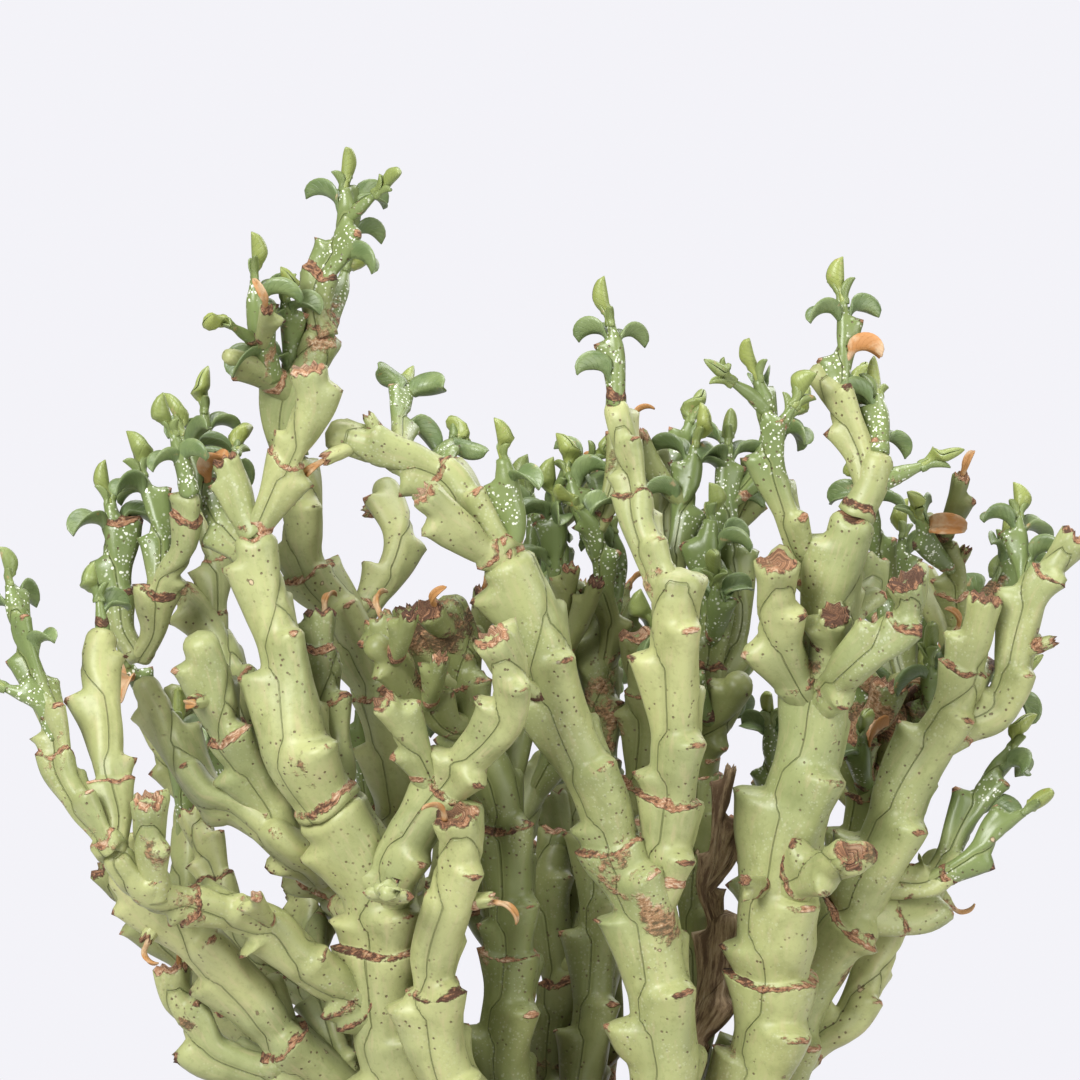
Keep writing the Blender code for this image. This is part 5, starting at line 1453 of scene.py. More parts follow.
@dataclass(frozen=True)
class TreeRule:
    """How a tree is dressed, and how its small late shoots stand."""

    shade_range: Pair = (-0.05, 0.22)
    withered: float = 0.05
    curled: float = 0.35
    curl_lengths_mm: Pair = (6, 9)
    curl_room: float = 2 * MM
    curl_width: float = 4 * MM
    curl_spot: float = 0.3
    curl_tip: Pair = (0.75, 0.45)
    curl_brown: float = 0.9
    bract_turns: Pair = (2.2, 4)
    bract_lengths: Pair = (0.4, 0.65)
    bract_width: float = 0.5
    tip: float = 0.95
    tip_radius: float = 0.5 * MM
    leafy: float = 0.6
    spots: Pair = (0.5, 0.9)
    lengths: Pair = (12 * MM, 20 * MM)
    sunk: float = 4 * MM
    width: Pair = (4.2, 3.5)
    route_points: int = 6
    outward: float = 0.75
    onward: float = 0.45
    upward: float = 0.4
    tries: int = 6
    most: int = 2
    shortest_mother: int = 4
    free: float = 2.6 * MM
    own_free: Pair = (1.5 * MM, 4 * MM)
    heights: Pair = (232 * MM, 350 * MM)
    widest: float = 112 * MM
    deepest: float = 76 * MM


TREE = TreeRule()


class FineTree:
    """One tree's fine mesh."""

    def __init__(self, name: str, number: int, clump: Clump, seed: int) -> None:
        """Plans the tree's stems.

        Args:
            name: The node that it replaces.
            number: The tree's number.
            clump: The whole layout.
            seed: The number before its first stem's seed.
        """
        self.name, self.number, self.stems = name, number, list(clump.trees[name])
        self.plans: list[StemPlan] = []
        for one in self.stems:
            seed += 1
            rng = np.random.default_rng(seed)
            self.plans.append(StemPlan(one, number, clump.surroundings, rng))
        self.last_seed = seed

    def sprout(self, around: Surroundings) -> int:
        """Plans small late shoots on the upper stems, where there is room for them.

        Args:
            around: What they keep clear of.

        Returns:
            How many there are.
        """
        rng = np.random.default_rng(SEED * 31 + self.number)
        grown = len(self.plans)
        for index in range(grown):
            line = self.plans[index].line
            low, high = (max(1, int(share * (len(line) - 1))) for share in TREE.spots)
            left = TREE.most if len(line) > TREE.shortest_mother else 0
            for _ in range(TREE.tries):
                spot = int(rng.integers(low, high + 1))
                route = self.sprout_route(line, spot, rng)
                if left and self.is_free(route, around):
                    left -= 1
                    leaves = 3 if rng.random() < TREE.leafy else 0
                    one = Stem(index, 0, TREE.width, route, (), leaves, grows_from=spot)
                    one.lay(route, 0.5 * GROWTH.link)
                    self.stems.append(one)
                    self.plans.append(StemPlan(one, self.number, around, rng))
        return len(self.plans) - grown

    @staticmethod
    def sprout_route(line: Array, spot: int, rng: Random) -> Array:
        """Draws a shoot's route, outwards and then up.

        Args:
            line: Its mother's points.
            spot: The number of the point that it leaves from.
            rng: Its seeded picks.

        Returns:
            One point a row.
        """
        along = line[spot] - line[spot - 1]
        along /= np.linalg.norm(along)
        side = np.cross(along, (0, 1, 0))
        side /= np.linalg.norm(side)
        turn = rng.uniform(0, math.tau)
        out = side * math.cos(turn) + np.cross(along, side) * math.sin(turn)
        length = rng.uniform(*TREE.lengths) + TREE.sunk
        share = np.linspace(0, 1, TREE.route_points)[:, None]
        aim = TREE.outward * out + TREE.onward * along
        rise = TREE.upward * share ** 2 * np.array((0, 0, 1.0))
        return line[spot] + length * (share * aim + rise)

    def is_free(self, route: Array, around: Surroundings) -> bool:
        """Tells whether a shoot's route has room.

        Args:
            route: One point a row.
            around: What it keeps clear of.

        Returns:
            Whether its tip is within the plant's upper part and its outer half keeps clear.
        """
        tip = route[-1] + (route[-1] - route[-2]) * 2
        outer = np.vstack([route[2:], tip])
        own = np.vstack([plan.line for plan in self.plans])
        thick = np.concatenate([one.width_at(np.linspace(0, 1, len(plan.line))) / 2
                                for one, plan in zip(self.stems, self.plans)])
        gaps = np.linalg.norm(outer[:, None, :] - own[None, :, :], axis=2) - thick
        clear = gaps.min(axis=1) > np.linspace(*TREE.own_free, len(outer))
        side, back, height = route[-1]
        inside = abs(side) < TREE.widest and abs(back) < TREE.deepest
        inside = inside and TREE.heights[0] < height < TREE.heights[1]
        return inside and clear.all() and around.room(outer, self.number).min() > TREE.free

    def ending(self, index: int) -> Ending:
        """Tells how a stem ends.

        Args:
            index: The stem's number.

        Returns:
            Leafy, blunt, or forked where another grows from its very end.
        """
        one = self.stems[index]
        if one.leaves:
            return Ending.LEAFY
        last = len(one.links) - 3
        if any(other.parent == index and other.grows_from >= last for other in self.stems):
            return Ending.FORKED
        return Ending.BLUNT

    def mother_radius(self, one: Stem) -> float:
        """Gives the radius of what a stem grows from.

        Args:
            one: The stem.

        Returns:
            The radius where it leaves, a small one where it grows from the tip, or 0 for a trunk.
        """
        if one.parent == ROOT:
            return 0.0
        mother = self.stems[one.parent]
        share = one.grows_from / max(1, len(mother.links) - 1)
        return TREE.tip_radius if share > TREE.tip else float(mother.width_at(share)) / 2

    def build(self, stem_look: Material, leaf_look: Material) -> bpy.types.Object:
        """Builds the mesh in place of the node.

        Args:
            stem_look: The stems' material.
            leaf_look: The leaves' material.

        Returns:
            The mesh object.
        """
        parts = MeshParts()
        # painted shade: trees deep in the clump are darkened for their place; each stem then adds
        # its own random tone
        painted_shade_and_tone = Shade.of(self.name).value
        dead = self.name == "dry_stem"
        rng = np.random.default_rng(SEED + len(self.name))
        for index, plan in enumerate(self.plans):
            own = painted_shade_and_tone + rng.uniform(*TREE.shade_range)
            skin = StemSkin(plan, own, dead, self.ending(index), self.mother_radius(plan.one))
            skin.build(parts)
            for leaf in plan.leaf_places:
                add_leaf(parts, leaf, LeafKind.OPEN, float(rng.random() < TREE.withered), rng)
            if plan.bud:
                add_bud(parts, plan.bud, rng)
            if self.ending(index) is Ending.BLUNT and not dead and rng.random() < TREE.curled:
                add_curl(parts, plan, rng)
        item = parts.make(f"{self.name}_fine", [stem_look, leaf_look])
        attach(item, "root")
        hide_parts(self.name)
        return item


class Value:
    """An output in a node tree, which can be reckoned with like a number."""

    def __init__(self, graph: Graph, socket: bpy.types.NodeSocket) -> None:
        """Takes the output and the tree that it is in."""
        self.graph, self.socket = graph, socket

    def __add__(self, other: Value | float) -> Value:
        """Adds."""
        return self.graph.math("ADD", self, other)

    def __sub__(self, other: Value | float) -> Value:
        """Subtracts."""
        return self.graph.math("SUBTRACT", self, other)

    def __mul__(self, other: Value | float) -> Value:
        """Multiplies."""
        return self.graph.math("MULTIPLY", self, other)


class Graph:
    """A node tree that is written node by node."""

    def __init__(self, tree: bpy.types.NodeTree) -> None:
        """Takes the tree."""
        self.tree = tree

    def plug(self, node: bpy.types.Node, inputs: dict[str | int, object]) -> None:
        """Sets or links a node's inputs.

        Args:
            node: The node.
            inputs: A number, a colour or an output for each input's name or number.
        """
        for key, value in inputs.items():
            if isinstance(value, Value):
                self.tree.links.new(value.socket, node.inputs[key])
            else:
                node.inputs[key].default_value = (*value, 1) if isinstance(value, tuple) else value

    def node(self, kind: str, out: str | int, inputs: dict[str | int, object],
             **settings: object) -> Value:
        """Adds a node.

        Args:
            kind: What follows ShaderNode in its type.
            out: The name or number of the output that is wanted.
            inputs: A number, a colour or an output for each input's name or number.
            **settings: Its other settings.

        Returns:
            The output.
        """
        made = self.tree.nodes.new(f"ShaderNode{kind}")
        for key, value in settings.items():
            setattr(made, key, value)
        self.plug(made, inputs)
        return Value(self, made.outputs[out])

    def math(self, operation: str, *values: Value | float) -> Value:
        """Works on numbers."""
        return self.node("Math", 0, dict(enumerate(values)), operation=operation)

    def mix(self, share: Value, first: Value | Triple, second: Value | Triple) -> Value:
        """Mixes two colours by the second one's share."""
        return self.node("Mix", 2, {0: share, 6: first, 7: second}, data_type="RGBA")


@dataclass(frozen=True)
class Pattern:
    """Noise: its scale in patterns a metre, the two values that it eases between and its detail."""

    scale: float
    low: float
    high: float
    detail: float = 3
    rough: float = 0.55


class Look(Graph):
    """A material with a base colour that layers are laid over."""

    def __init__(self, name: str) -> None:
        """Starts an empty material with a Principled shader.

        Args:
            name: The material's name.
        """
        self.material = bpy.data.materials.new(name)
        self.material.use_nodes = True
        super().__init__(self.material.node_tree)
        self.tree.nodes.clear()
        self.shader = self.tree.nodes.new("ShaderNodeBsdfPrincipled")
        output = self.tree.nodes.new("ShaderNodeOutputMaterial")
        self.tree.links.new(self.shader.outputs[0], output.inputs[0])
        self.place = self.node("TexCoord", "Object", {})
        self.base: Value | Triple = (0, 0, 0)

    def attribute(self, name: str) -> list[Value]:
        """Reads a mesh attribute.

        Args:
            name: The attribute's name.

        Returns:
            Its three numbers.
        """
        vector = self.node("Attribute", "Vector", {}, attribute_name=name)
        first = self.node("SeparateXYZ", 0, {0: vector})
        return [Value(self, socket) for socket in first.socket.node.outputs]

    def join(self, *values: Value | float) -> Value:
        """Joins three numbers into a vector."""
        return self.node("CombineXYZ", 0, dict(enumerate(values)))

    def ramp(self, value: Value, low: float, high: float) -> Value:
        """Eases a number from 0 at low to 1 at high."""
        inputs = {0: value, 1: low, 2: high}
        return self.node("MapRange", 0, inputs, interpolation_type="SMOOTHSTEP")

    def noise(self, vector: Value, scale: float, detail: float = 3, rough: float = 0.55) -> Value:
        """Makes fractal noise from 0 to 1."""
        inputs = {"Vector": vector, "Scale": scale, "Detail": detail, "Roughness": rough}
        return self.node("TexNoise", "Fac", inputs)

    def patches(self, pattern: Pattern) -> Value:
        """Makes patches of noise from 0 to 1."""
        noise = self.noise(self.place, pattern.scale, pattern.detail, pattern.rough)
        return self.ramp(noise, pattern.low, pattern.high)

    def spots(self, scale: float) -> Value:
        """Measures the distance to scattered points."""
        return self.node("TexVoronoi", "Distance", {"Vector": self.place, "Scale": scale})

    def lay(self, colour: Value | Triple, share: Value, strength: Value | float = 1.0) -> None:
        """Lays a colour over the base, by its share times its strength."""
        self.base = self.mix(share * strength, self.base, colour)

    def bump(self, height: Value, depth: float) -> None:
        """Roughens the surface by a height field of a depth in metres."""
        normal = self.node("Bump", 0, {"Height": height, "Distance": depth, "Strength": 1.0})
        self.plug(self.shader, {"Normal": normal})

    def finish(self, roughness: Value | float, shine: float) -> None:
        """Closes the material."""
        self.plug(self.shader, {"Base Color": self.base, "Roughness": roughness,
                                "Specular IOR Level": shine})


@dataclass(frozen=True)
class StemTones:
    """The colours of the stems' skin, its patterns and how strongly each is laid.

    Scales are in patterns a metre. Pairs are the two values that something eases between.
    """

    name: str = "stem_skin"
    pale: Triple = (0.395, 0.405, 0.175)
    grey: Triple = (0.275, 0.30, 0.13)
    dark: Triple = (0.105, 0.118, 0.03)
    young: Triple = (0.125, 0.175, 0.055)
    seam: Triple = (0.10, 0.125, 0.03)
    tan: Triple = (0.34, 0.17, 0.085)
    brown: Triple = (0.075, 0.034, 0.018)
    straw: Triple = (0.55, 0.40, 0.27)
    wax: Triple = (0.72, 0.74, 0.64)
    clouds: Pattern = Pattern(24, 0.38, 0.66)
    mottles: Pattern = Pattern(130, 0.46, 0.74, 4, 0.6)
    mottled: float = 0.35
    pores: Pattern = Pattern(800, 0.5, 0.7, 3, 0.7)
    porous: float = 0.2
    streak_length: float = 0.18
    streaks: Pattern = Pattern(0.9, 0.5, 0.72)
    streaked: float = 0.22
    # strength of the painted shade, painted highlight and random tone held in the tone's third
    # channel
    shaded: float = 0.8
    youthful: float = 0.85
    wobble: float = 160
    seam_edge: Pair = (0.4, 0.05)
    seam_shadow: Pair = (2.6, 0.1)
    shadowed: float = 0.26
    # painted highlight: a pale band on the rise beside each seam
    rise_inner: Pair = (0.5, 0.85)
    rise_outer: Pair = (1.7, 0.9)
    painted_highlight_by_seam: float = 0.16
    seam_breaks: Pattern = Pattern(45, 0.3, 0.68, 2)
    seam_strength: Pair = (0.34, 0.08)
    dots: float = 560
    dot_edge: Pair = (0.21, 0.1)
    dotted: Pattern = Pattern(70, 0.4, 0.58, 2)
    dot_strength: float = 0.8
    scabs: float = 110
    scab_tears: float = 330
    scab_core: Pair = (0.3, 0.24)
    scab_edge: Pair = (0.335, 0.3)
    scab_strength: float = 0.75
    specks: tuple[Triple, ...] = ((620, 0.27, 0.15), (1150, 0.3, 0.18))
    speckled: Pattern = Pattern(110, 0.45, 0.56)
    rags: float = 340
    rag_edge: Pair = (0.36, 0.56)
    bark_patches: float = 36
    patch_edge: Pair = (0.81, 0.86)
    patch_strength: float = 0.85
    fibre: float = 1.6
    fibre_tan: Pair = (0.7, 0.86)
    fibre_straw: Pair = (0.84, 0.98)
    aging: float = 55
    relief: float = 0.5 * MM


class StemLook(Look):
    """The stems' skin."""

    def __init__(self, tones: StemTones) -> None:
        """Makes the material, layer by layer.

        Args:
            tones: Its colours and scales.
        """
        super().__init__(tones.name)
        self.tones = tones
        self.old, self.youth, self.painted_shade_and_tone = self.attribute("tone")
        self.around, self.along, _ = self.attribute("flow")
        self.ground()
        self.seams()
        self.marks()
        self.bark()

    def ground(self) -> None:
        """Lays the clouded ground, with painted shade deep in the clump and in the grooves, a
        painted highlight on the tubercles, each stem's own tone, and greener young shoots.
        """
        tones, mottles, streaks = self.tones, self.tones.mottles, self.tones.streaks
        thread = self.join(self.around, self.along * tones.streak_length, 0.0)
        streak = self.noise(thread, streaks.scale)
        self.mottle = self.noise(self.place, mottles.scale, mottles.detail, mottles.rough)
        self.base = self.mix(self.patches(tones.clouds), tones.pale, tones.grey)
        self.lay(tones.dark, self.ramp(self.mottle, mottles.low, mottles.high), tones.mottled)
        self.lay(tones.dark, self.patches(tones.pores), tones.porous)
        self.lay(tones.straw, self.ramp(streak, streaks.low, streaks.high), tones.streaked)
        # painted shade: the tone's third channel darkens trees deep in the clump and the grooves,
        # pales the tubercles as a painted highlight, and holds each stem's random tone
        self.lay(tones.dark, self.painted_shade_and_tone, tones.shaded)
        self.lay(tones.young, self.youth, tones.youthful)

    def seams(self) -> None:
        """Draws a seam where two ranks' scales are equally far, with a painted shadow along it and
        a painted highlight on the rise beside it.
        """
        tones, cells = self.tones, self.attribute("cells")
        low, high, total = (self.math(kind, self.math(kind, *cells[:2]), cells[2])
                            for kind in ("MINIMUM", "MAXIMUM", "ADD"))
        middle = total - low - high
        wobble = (self.noise(self.place, tones.wobble, 2) - 0.5) * 0.5
        apart = self.math("ABSOLUTE", middle - low + wobble)
        self.seam = self.ramp(apart, *tones.seam_edge)
        self.lay(tones.dark, self.ramp(apart, *tones.seam_shadow), tones.shadowed)
        # painted highlight on the rise beside the seam
        rise = self.ramp(apart, *tones.rise_inner) * self.ramp(apart, *tones.rise_outer)
        self.lay(tones.pale, rise, tones.painted_highlight_by_seam)
        most, least = tones.seam_strength
        self.lay(tones.seam, self.seam, self.patches(tones.seam_breaks) * most + least)

    def marks(self) -> None:
        """Scatters dark dots and scabs, and waxy specks on young shoots."""
        tones = self.tones
        dot = self.ramp(self.spots(tones.dots), *tones.dot_edge)
        self.dot = dot * self.patches(tones.dotted)
        self.lay(tones.brown, self.dot, tones.dot_strength)
        scab = self.spots(tones.scabs) + self.noise(self.place, tones.scab_tears, 4) * 0.6
        crust = self.mix(self.ramp(scab, *tones.scab_core), tones.brown, tones.straw)
        self.lay(crust, self.ramp(scab, *tones.scab_edge), tones.scab_strength)
        large, small = (self.ramp(self.spots(scale), *edge) for scale, *edge in tones.specks)
        cluster = self.patches(tones.speckled) * self.math("POWER", self.youth, 1.5)
        self.lay(tones.wax, self.math("MAXIMUM", large, small), cluster)

    def bark(self) -> None:
        """Covers old skin with ragged fibres, and closes the material."""
        tones, place = self.tones, self.place
        ragged = self.noise(place, tones.rags, 4, 0.65)
        rag = self.old + (ragged - 0.5) * 1.5
        patch = self.noise(place, tones.bark_patches, 2) + ragged * 0.3
        patch = self.ramp(patch, *tones.patch_edge) * tones.patch_strength
        bark = self.math("MAXIMUM", self.ramp(rag, *tones.rag_edge), patch)
        thread = self.join(self.around, self.along * tones.fibre, 0.0)
        grain = self.noise(thread, 0.8, 5, 0.72)
        aged = grain + self.noise(place, tones.aging, 2) * 0.6
        dry = self.mix(self.ramp(aged, *tones.fibre_tan), tones.brown, tones.tan)
        self.lay(self.mix(self.ramp(aged, *tones.fibre_straw), dry, tones.straw), bark)
        height = self.mottle * 0.35 - self.seam * 0.6 + bark * grain * 1.4 - self.dot * 0.3
        self.bump(height, tones.relief)
        self.finish(bark * 0.38 + 0.46 - self.youth * 0.14, 0.4)


@dataclass(frozen=True)
class LeafTones:
    """The leaves' colours and patterns, and how strongly each is laid."""

    name: str = "leaf"
    green: Triple = (0.10, 0.145, 0.05)
    lit: Triple = (0.16, 0.21, 0.08)
    rib: Triple = (0.22, 0.27, 0.12)
    fresh: Triple = (0.30, 0.335, 0.075)
    dry: Triple = (0.38, 0.17, 0.05)
    straw: Triple = (0.46, 0.31, 0.18)
    clouds: Pattern = Pattern(160, 0.4, 0.66, 4)
    freshness: float = 0.75
    midrib: Pair = (0.14, 0.03)
    ribbed: float = 0.3
    vein: Pair = (0.1, 0.02)
    veined: float = 0.05
    rim: Pair = (0.86, 1.0)
    rimmed: float = 0.35
    crisp: Pattern = Pattern(330, 0.64, 0.74)
    dead: Pattern = Pattern(210, 0.42, 0.6)
    dents: float = 300
    relief: float = 0.15 * MM


class LeafLook(Look):
    """The leaves, with a paler midrib and rim."""

    def __init__(self, tones: LeafTones) -> None:
        """Makes the material.

        Args:
            tones: Its colours.
        """
        super().__init__(tones.name)
        across, along, withered = self.attribute("flow")
        off = self.math("ABSOLUTE", across)
        self.base = self.mix(self.patches(tones.clouds), tones.green, tones.lit)
        self.lay(tones.fresh, self.attribute("tone")[1], tones.freshness)
        self.lay(tones.rib, self.ramp(off, *tones.midrib), tones.ribbed)
        veins = self.ramp(self.math("PINGPONG", along * 9.0 - off * 2.4, 0.5), *tones.vein)
        self.lay(tones.rib, veins, tones.veined)
        self.lay(tones.rib, self.ramp(off, *tones.rim), tones.rimmed)
        dead = self.mix(self.patches(tones.dead), tones.dry, tones.straw)
        self.lay(dead, self.math("MAXIMUM", withered, self.patches(tones.crisp) * 0.5))
        self.bump(self.noise(self.place, tones.dents) - veins * 0.3, tones.relief)
        self.finish(withered * 0.3 + 0.4, 0.5)


@dataclass(frozen=True)
class EarthTones:
    """The colours, scales and relief of anything mineral or woody."""

    name: str
    base: Triple
    cloud: Triple
    grain: Triple
    cloud_scale: float
    grain_scale: float
    relief: float
    roughness: float = 0.85
    cloud_edge: Pair = (0.36, 0.66)
    grain_edge: Pair = (0.54, 0.72)
    grained: float = 0.7
    pit_edge: Pair = (0.16, 0.05)
    pitted: float = 0.5


CLAY = EarthTones("terracotta", (0.40, 0.16, 0.078), (0.49, 0.23, 0.125), (0.58, 0.37, 0.26),
                  26, 420, 0.35 * MM)
BARK = EarthTones("crown_bark", (0.12, 0.075, 0.045), (0.30, 0.205, 0.13), (0.45, 0.34, 0.22),
                  90, 330, 1.1 * MM)
SOIL = EarthTones("gritty_soil", (0.085, 0.06, 0.042), (0.17, 0.125, 0.09), (0.34, 0.28, 0.21),
                  120, 520, 1.6 * MM, 0.95)
GRIT = EarthTones("grit", (0.30, 0.24, 0.18), (0.47, 0.41, 0.33), (0.62, 0.58, 0.50),
                  75, 700, 0.3 * MM, 0.8)


class EarthLook(Look):
    """A base colour with a second tone in clouds, grains and pits."""

    def __init__(self, tones: EarthTones) -> None:
        """Makes the material.

        Args:
            tones: Its colours, scales and relief.
        """
        super().__init__(tones.name)
        cloud = self.noise(self.place, tones.cloud_scale, 5, 0.62)
        self.base = self.mix(self.ramp(cloud, *tones.cloud_edge), tones.base, tones.cloud)
        grain = self.noise(self.place, tones.grain_scale, 3, 0.6)
        self.lay(tones.grain, self.ramp(grain, *tones.grain_edge), tones.grained)
        pits = self.ramp(self.spots(tones.grain_scale * 0.7), *tones.pit_edge)
        self.lay(tones.base, pits, tones.pitted)
        self.bump(cloud + grain - pits, tones.relief)
        self.finish(cloud * -0.15 + tones.roughness, 0.3)


@dataclass
class Crown:
    """The woody crown that the stems stand in."""

    radius: float = 42 * MM
    soil_top: float = 113 * MM
    top: float = 128 * MM
    foot: float = 104 * MM
    sides: int = 150
    buried_rings: int = 7
    bare_rings: int = 39
    lumps: tuple[tuple[float, int, float], ...] = ((1.6 * MM, 5, 1), (1.2 * MM, 9, 2.2))
    ripple: float = 0.35 * MM
    ripples: tuple[int, ...] = (17, 29, 43)
    ripple_bend: Pair = (5, 900)
    arch: float = 0.985
    closed: float = 0.9995
    shoulder: float = 0.42

    def build(self, look: Material) -> bpy.types.Object:
        """Builds a finer crown in place of the node.

        Args:
            look: Its material.

        Returns:
            The mesh object.
        """
        rng = np.random.default_rng(SEED)
        height = self.top - self.soil_top
        angle = math.tau * np.arange(self.sides) / self.sides
        buried = np.linspace(self.foot, self.soil_top, self.buried_rings + 1)[:-1]
        bare = np.sin(np.linspace(0, math.pi / 2, self.bare_rings) * self.arch)
        levels = np.concatenate([buried, self.soil_top + height * bare])
        share = np.clip((levels - self.soil_top) / height, 0, self.closed)
        radius = self.radius * (1 - share ** 2) ** self.shoulder
        lumps = sum(size * np.sin(turn * angle + start) for size, turn, start in self.lumps)
        swell = np.sin(math.pi * np.minimum(share, 0.9))
        distance = radius[:, None] + lumps[None, :] * swell[:, None]
        bend, rate = self.ripple_bend
        for turn in self.ripples:
            wave = np.sin(turn * angle[None, :] + rng.uniform(0, 6)
                          + bend * np.sin(levels[:, None] * rate + turn))
            wave *= (share > 0)[:, None]
            distance = distance + self.ripple * wave * radius[:, None] / self.radius
        x, y = distance * np.cos(angle), distance * np.sin(angle)
        z = np.broadcast_to(levels[:, None], distance.shape)
        points = np.stack([x, y, z], axis=-1).reshape(-1, 3)
        points = np.vstack([points, (0, 0, self.foot), (0, 0, self.top)])
        parts = MeshParts()
        parts.add_tube(points, len(levels), 0)
        item = parts.make("caudex_fine", [look])
        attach(item, "root")
        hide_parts("caudex")
        return item


@dataclass
class Grit:
    """Small stones strewn over the soil."""

    count: int = 1200
    inner: float = 41 * MM
    outer: float = 66.5 * MM
    level: float = 112.6 * MM
    sizes: tuple[float, ...] = (0.7, 1.0, 1.4, 2.0)
    chances: tuple[float, ...] = (0.35, 0.35, 0.22, 0.08)
    stretch: Pair = (0.7, 1.2)
    flat: Triple = (1, 1, 0.75)
    uneven: float = 0.13
    lift: Pair = (0.1, 0.6)

    def build(self, look: Material) -> bpy.types.Object:
        """Strews the stones by a seeded rule.

        Args:
            look: Their material.

        Returns:
            The mesh object.
        """
        rng = np.random.default_rng(SEED + 1)
        ball, faces = self.ball()
        parts = MeshParts()
        for _ in range(self.count):
            away = math.sqrt(rng.uniform(self.inner ** 2, self.outer ** 2))
            turn = rng.uniform(0, math.tau)
            size = MM * rng.choice(self.sizes, p=self.chances)
            scale = size * rng.uniform(*self.stretch, 3) * self.flat
            shape = ball * scale * (1 + self.uneven * rng.standard_normal((len(ball), 1)))
            spin = rng.uniform(0, math.tau)
            cosine, sine = math.cos(spin), math.sin(spin)
            shape = shape @ np.array([[cosine, sine, 0], [-sine, cosine, 0], [0, 0, 1]])
            spot = np.array([away * math.cos(turn), away * math.sin(turn),
                             self.level + rng.uniform(*self.lift) * size])
            parts.add(shape + spot, [faces], 0)
        item = parts.make("grit", [look])
        item.data.shade_flat()
        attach(item, "root")
        return item

    @staticmethod
    def ball() -> tuple[Array, Array]:
        """Makes a plain round stone.

        Returns:
            Its points and its faces.
        """
        ball = bpy.data.meshes.new("stone")
        work = bmesh.new()
        bmesh.ops.create_icosphere(work, subdivisions=1, radius=1)
        work.to_mesh(ball)
        work.free()
        points = np.array([vertex.co for vertex in ball.vertices])
        faces = np.array([list(face.vertices) for face in ball.polygons])
        bpy.data.meshes.remove(ball)
        return points, faces


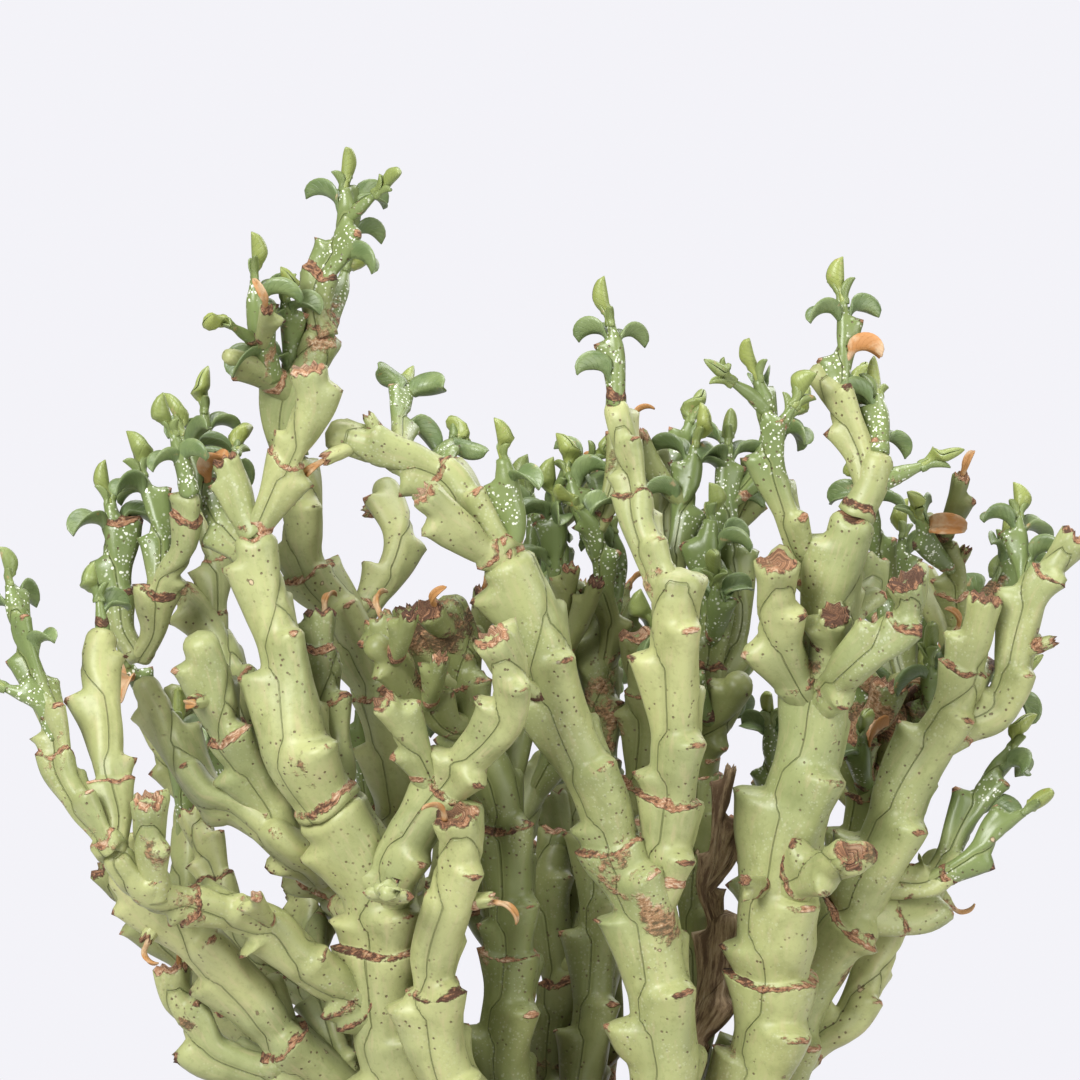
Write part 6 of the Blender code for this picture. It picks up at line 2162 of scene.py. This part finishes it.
@dataclass
class Studio:
    """A pale floor, soft lights and the camera at the photograph's angle."""

    floor_radius: float = 0.95
    floor_sides: int = 96
    backdrop: Triple = (0.90, 0.895, 0.94)
    bounce: Triple = (0.92, 0.90, 0.85)
    floor_tone: Triple = (0.47, 0.465, 0.49)
    soft: float = 0.26
    sensor: float = 36
    aim: Triple = (0, 0, 0.25)
    lights: tuple[tuple[str, Triple, float, float], ...] = (
        ("key", (-0.75, -1.25, 1.0), 0.8, 42), ("fill", (1.1, -1.0, 0.5), 1.0, 15),
        ("top", (0.1, 0.1, 1.6), 0.9, 20), ("rim", (0.7, 1.0, 0.9), 0.8, 8))

    def build(self) -> None:
        """Sets the stage."""
        self.floor()
        for light in self.lights:
            self.light(*light)
        self.sky()
        self.camera()

    def floor(self) -> None:
        """Lays a round floor."""
        angle = math.tau * np.arange(self.floor_sides) / self.floor_sides
        ring = np.stack([np.cos(angle), np.sin(angle), np.zeros_like(angle)], axis=-1)
        mesh = bpy.data.meshes.new("floor")
        mesh.from_pydata((ring * self.floor_radius).tolist(), [], [list(range(self.floor_sides))])
        item = bpy.data.objects.new("floor", mesh)
        bpy.context.scene.collection.objects.link(item)
        look = Look("floor")
        darker = tuple(0.98 * part for part in self.floor_tone)
        look.base = look.mix(look.noise(look.place, 9), self.floor_tone, darker)
        look.finish(0.8, 0.2)
        mesh.materials.append(look.material)

    def light(self, name: str, place: Triple, size: float, power: float) -> None:
        """Hangs one soft light that faces the plant.

        Args:
            name: The light's name.
            place: Where it hangs.
            size: Its side in metres.
            power: Its power in watts.
        """
        lamp = bpy.data.lights.new(name, "AREA")
        lamp.shape = "SQUARE"
        lamp.size = size
        lamp.energy = power
        item = bpy.data.objects.new(name, lamp)
        item.location = place
        towards = Vector(self.aim) - Vector(place)
        item.rotation_euler = towards.to_track_quat("-Z", "Y").to_euler()
        bpy.context.scene.collection.objects.link(item)

    def sky(self) -> None:
        """Fills the world with pale light, softer on the plant than it looks to the eye."""
        world = bpy.data.worlds.new("studio")
        world.use_nodes = True
        graph = Graph(world.node_tree)
        seen = graph.node("LightPath", "Is Camera Ray", {})
        strength = graph.node("MapRange", 0, {"Value": seen, "To Min": self.soft, "To Max": 1.0})
        tint = graph.mix(seen, self.bounce, self.backdrop)
        graph.plug(graph.tree.nodes["Background"], {"Color": tint, "Strength": strength})
        bpy.context.scene.world = world
        bpy.context.scene.view_settings.view_transform = "Standard"

    def camera(self) -> None:
        """Stands the camera where the photograph was taken from."""
        view = PICTURE
        lens = bpy.data.cameras.new("camera")
        lens.sensor_width = self.sensor
        lens.lens = self.sensor * view.distance / view.side
        lens.clip_end = 20
        item = bpy.data.objects.new("camera", lens)
        sine, cosine = math.sin(view.elevation), math.cos(view.elevation)
        item.location = (0, -view.distance * cosine, view.centre_height + view.distance * sine)
        item.rotation_euler = (math.pi / 2 - view.elevation, 0, 0)
        bpy.context.scene.collection.objects.link(item)
        bpy.context.scene.camera = item


def dress() -> None:
    """Gives the kept nodes their materials."""
    for name, tones in (("pot", CLAY), ("soil", SOIL)):
        item = bpy.data.objects[name]
        look = EarthLook(tones).material
        for slot in item.material_slots:
            slot.material = look
        if not item.material_slots:
            item.data.materials.append(look)
        log.info("dressed %s with %s", name, tones.name)


def report(item: bpy.types.Object) -> None:
    """Logs a piece's name and how many faces it has."""
    log.info("%s: %d faces", item.name, len(item.data.polygons))


def main() -> None:
    """Builds the whole scene."""
    logging.basicConfig(level=logging.INFO, format="%(name)s: %(message)s")
    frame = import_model()
    log.info("loaded %d nodes", len(frame["nodes"]))
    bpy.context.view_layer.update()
    dress()
    clump = Clump()
    stem_look = StemLook(StemTones()).material
    dry_look = StemLook(StemTones("dry_skin", tan=(0.40, 0.285, 0.17), brown=(0.15, 0.092, 0.052),
                                  straw=(0.56, 0.44, 0.30), fibre=0.12)).material
    leaf_look = LeafLook(LeafTones()).material
    seed, trees = SEED, []
    for number, name in enumerate(clump.trees):
        tree = FineTree(name, number, clump, seed)
        seed = tree.last_seed
        trees.append(tree)
    for tree in trees:
        if Shade.of(tree.name) is not Shade.FRONT:
            log.info("%s: %d small shoots", tree.name, tree.sprout(clump.surroundings))
    for tree in trees:
        report(tree.build(dry_look if tree.name == "dry_stem" else stem_look, leaf_look))
    report(Crown().build(EarthLook(BARK).material))
    report(Grit().build(EarthLook(GRIT).material))
    Studio().build()


if __name__ == "__main__":
    main()
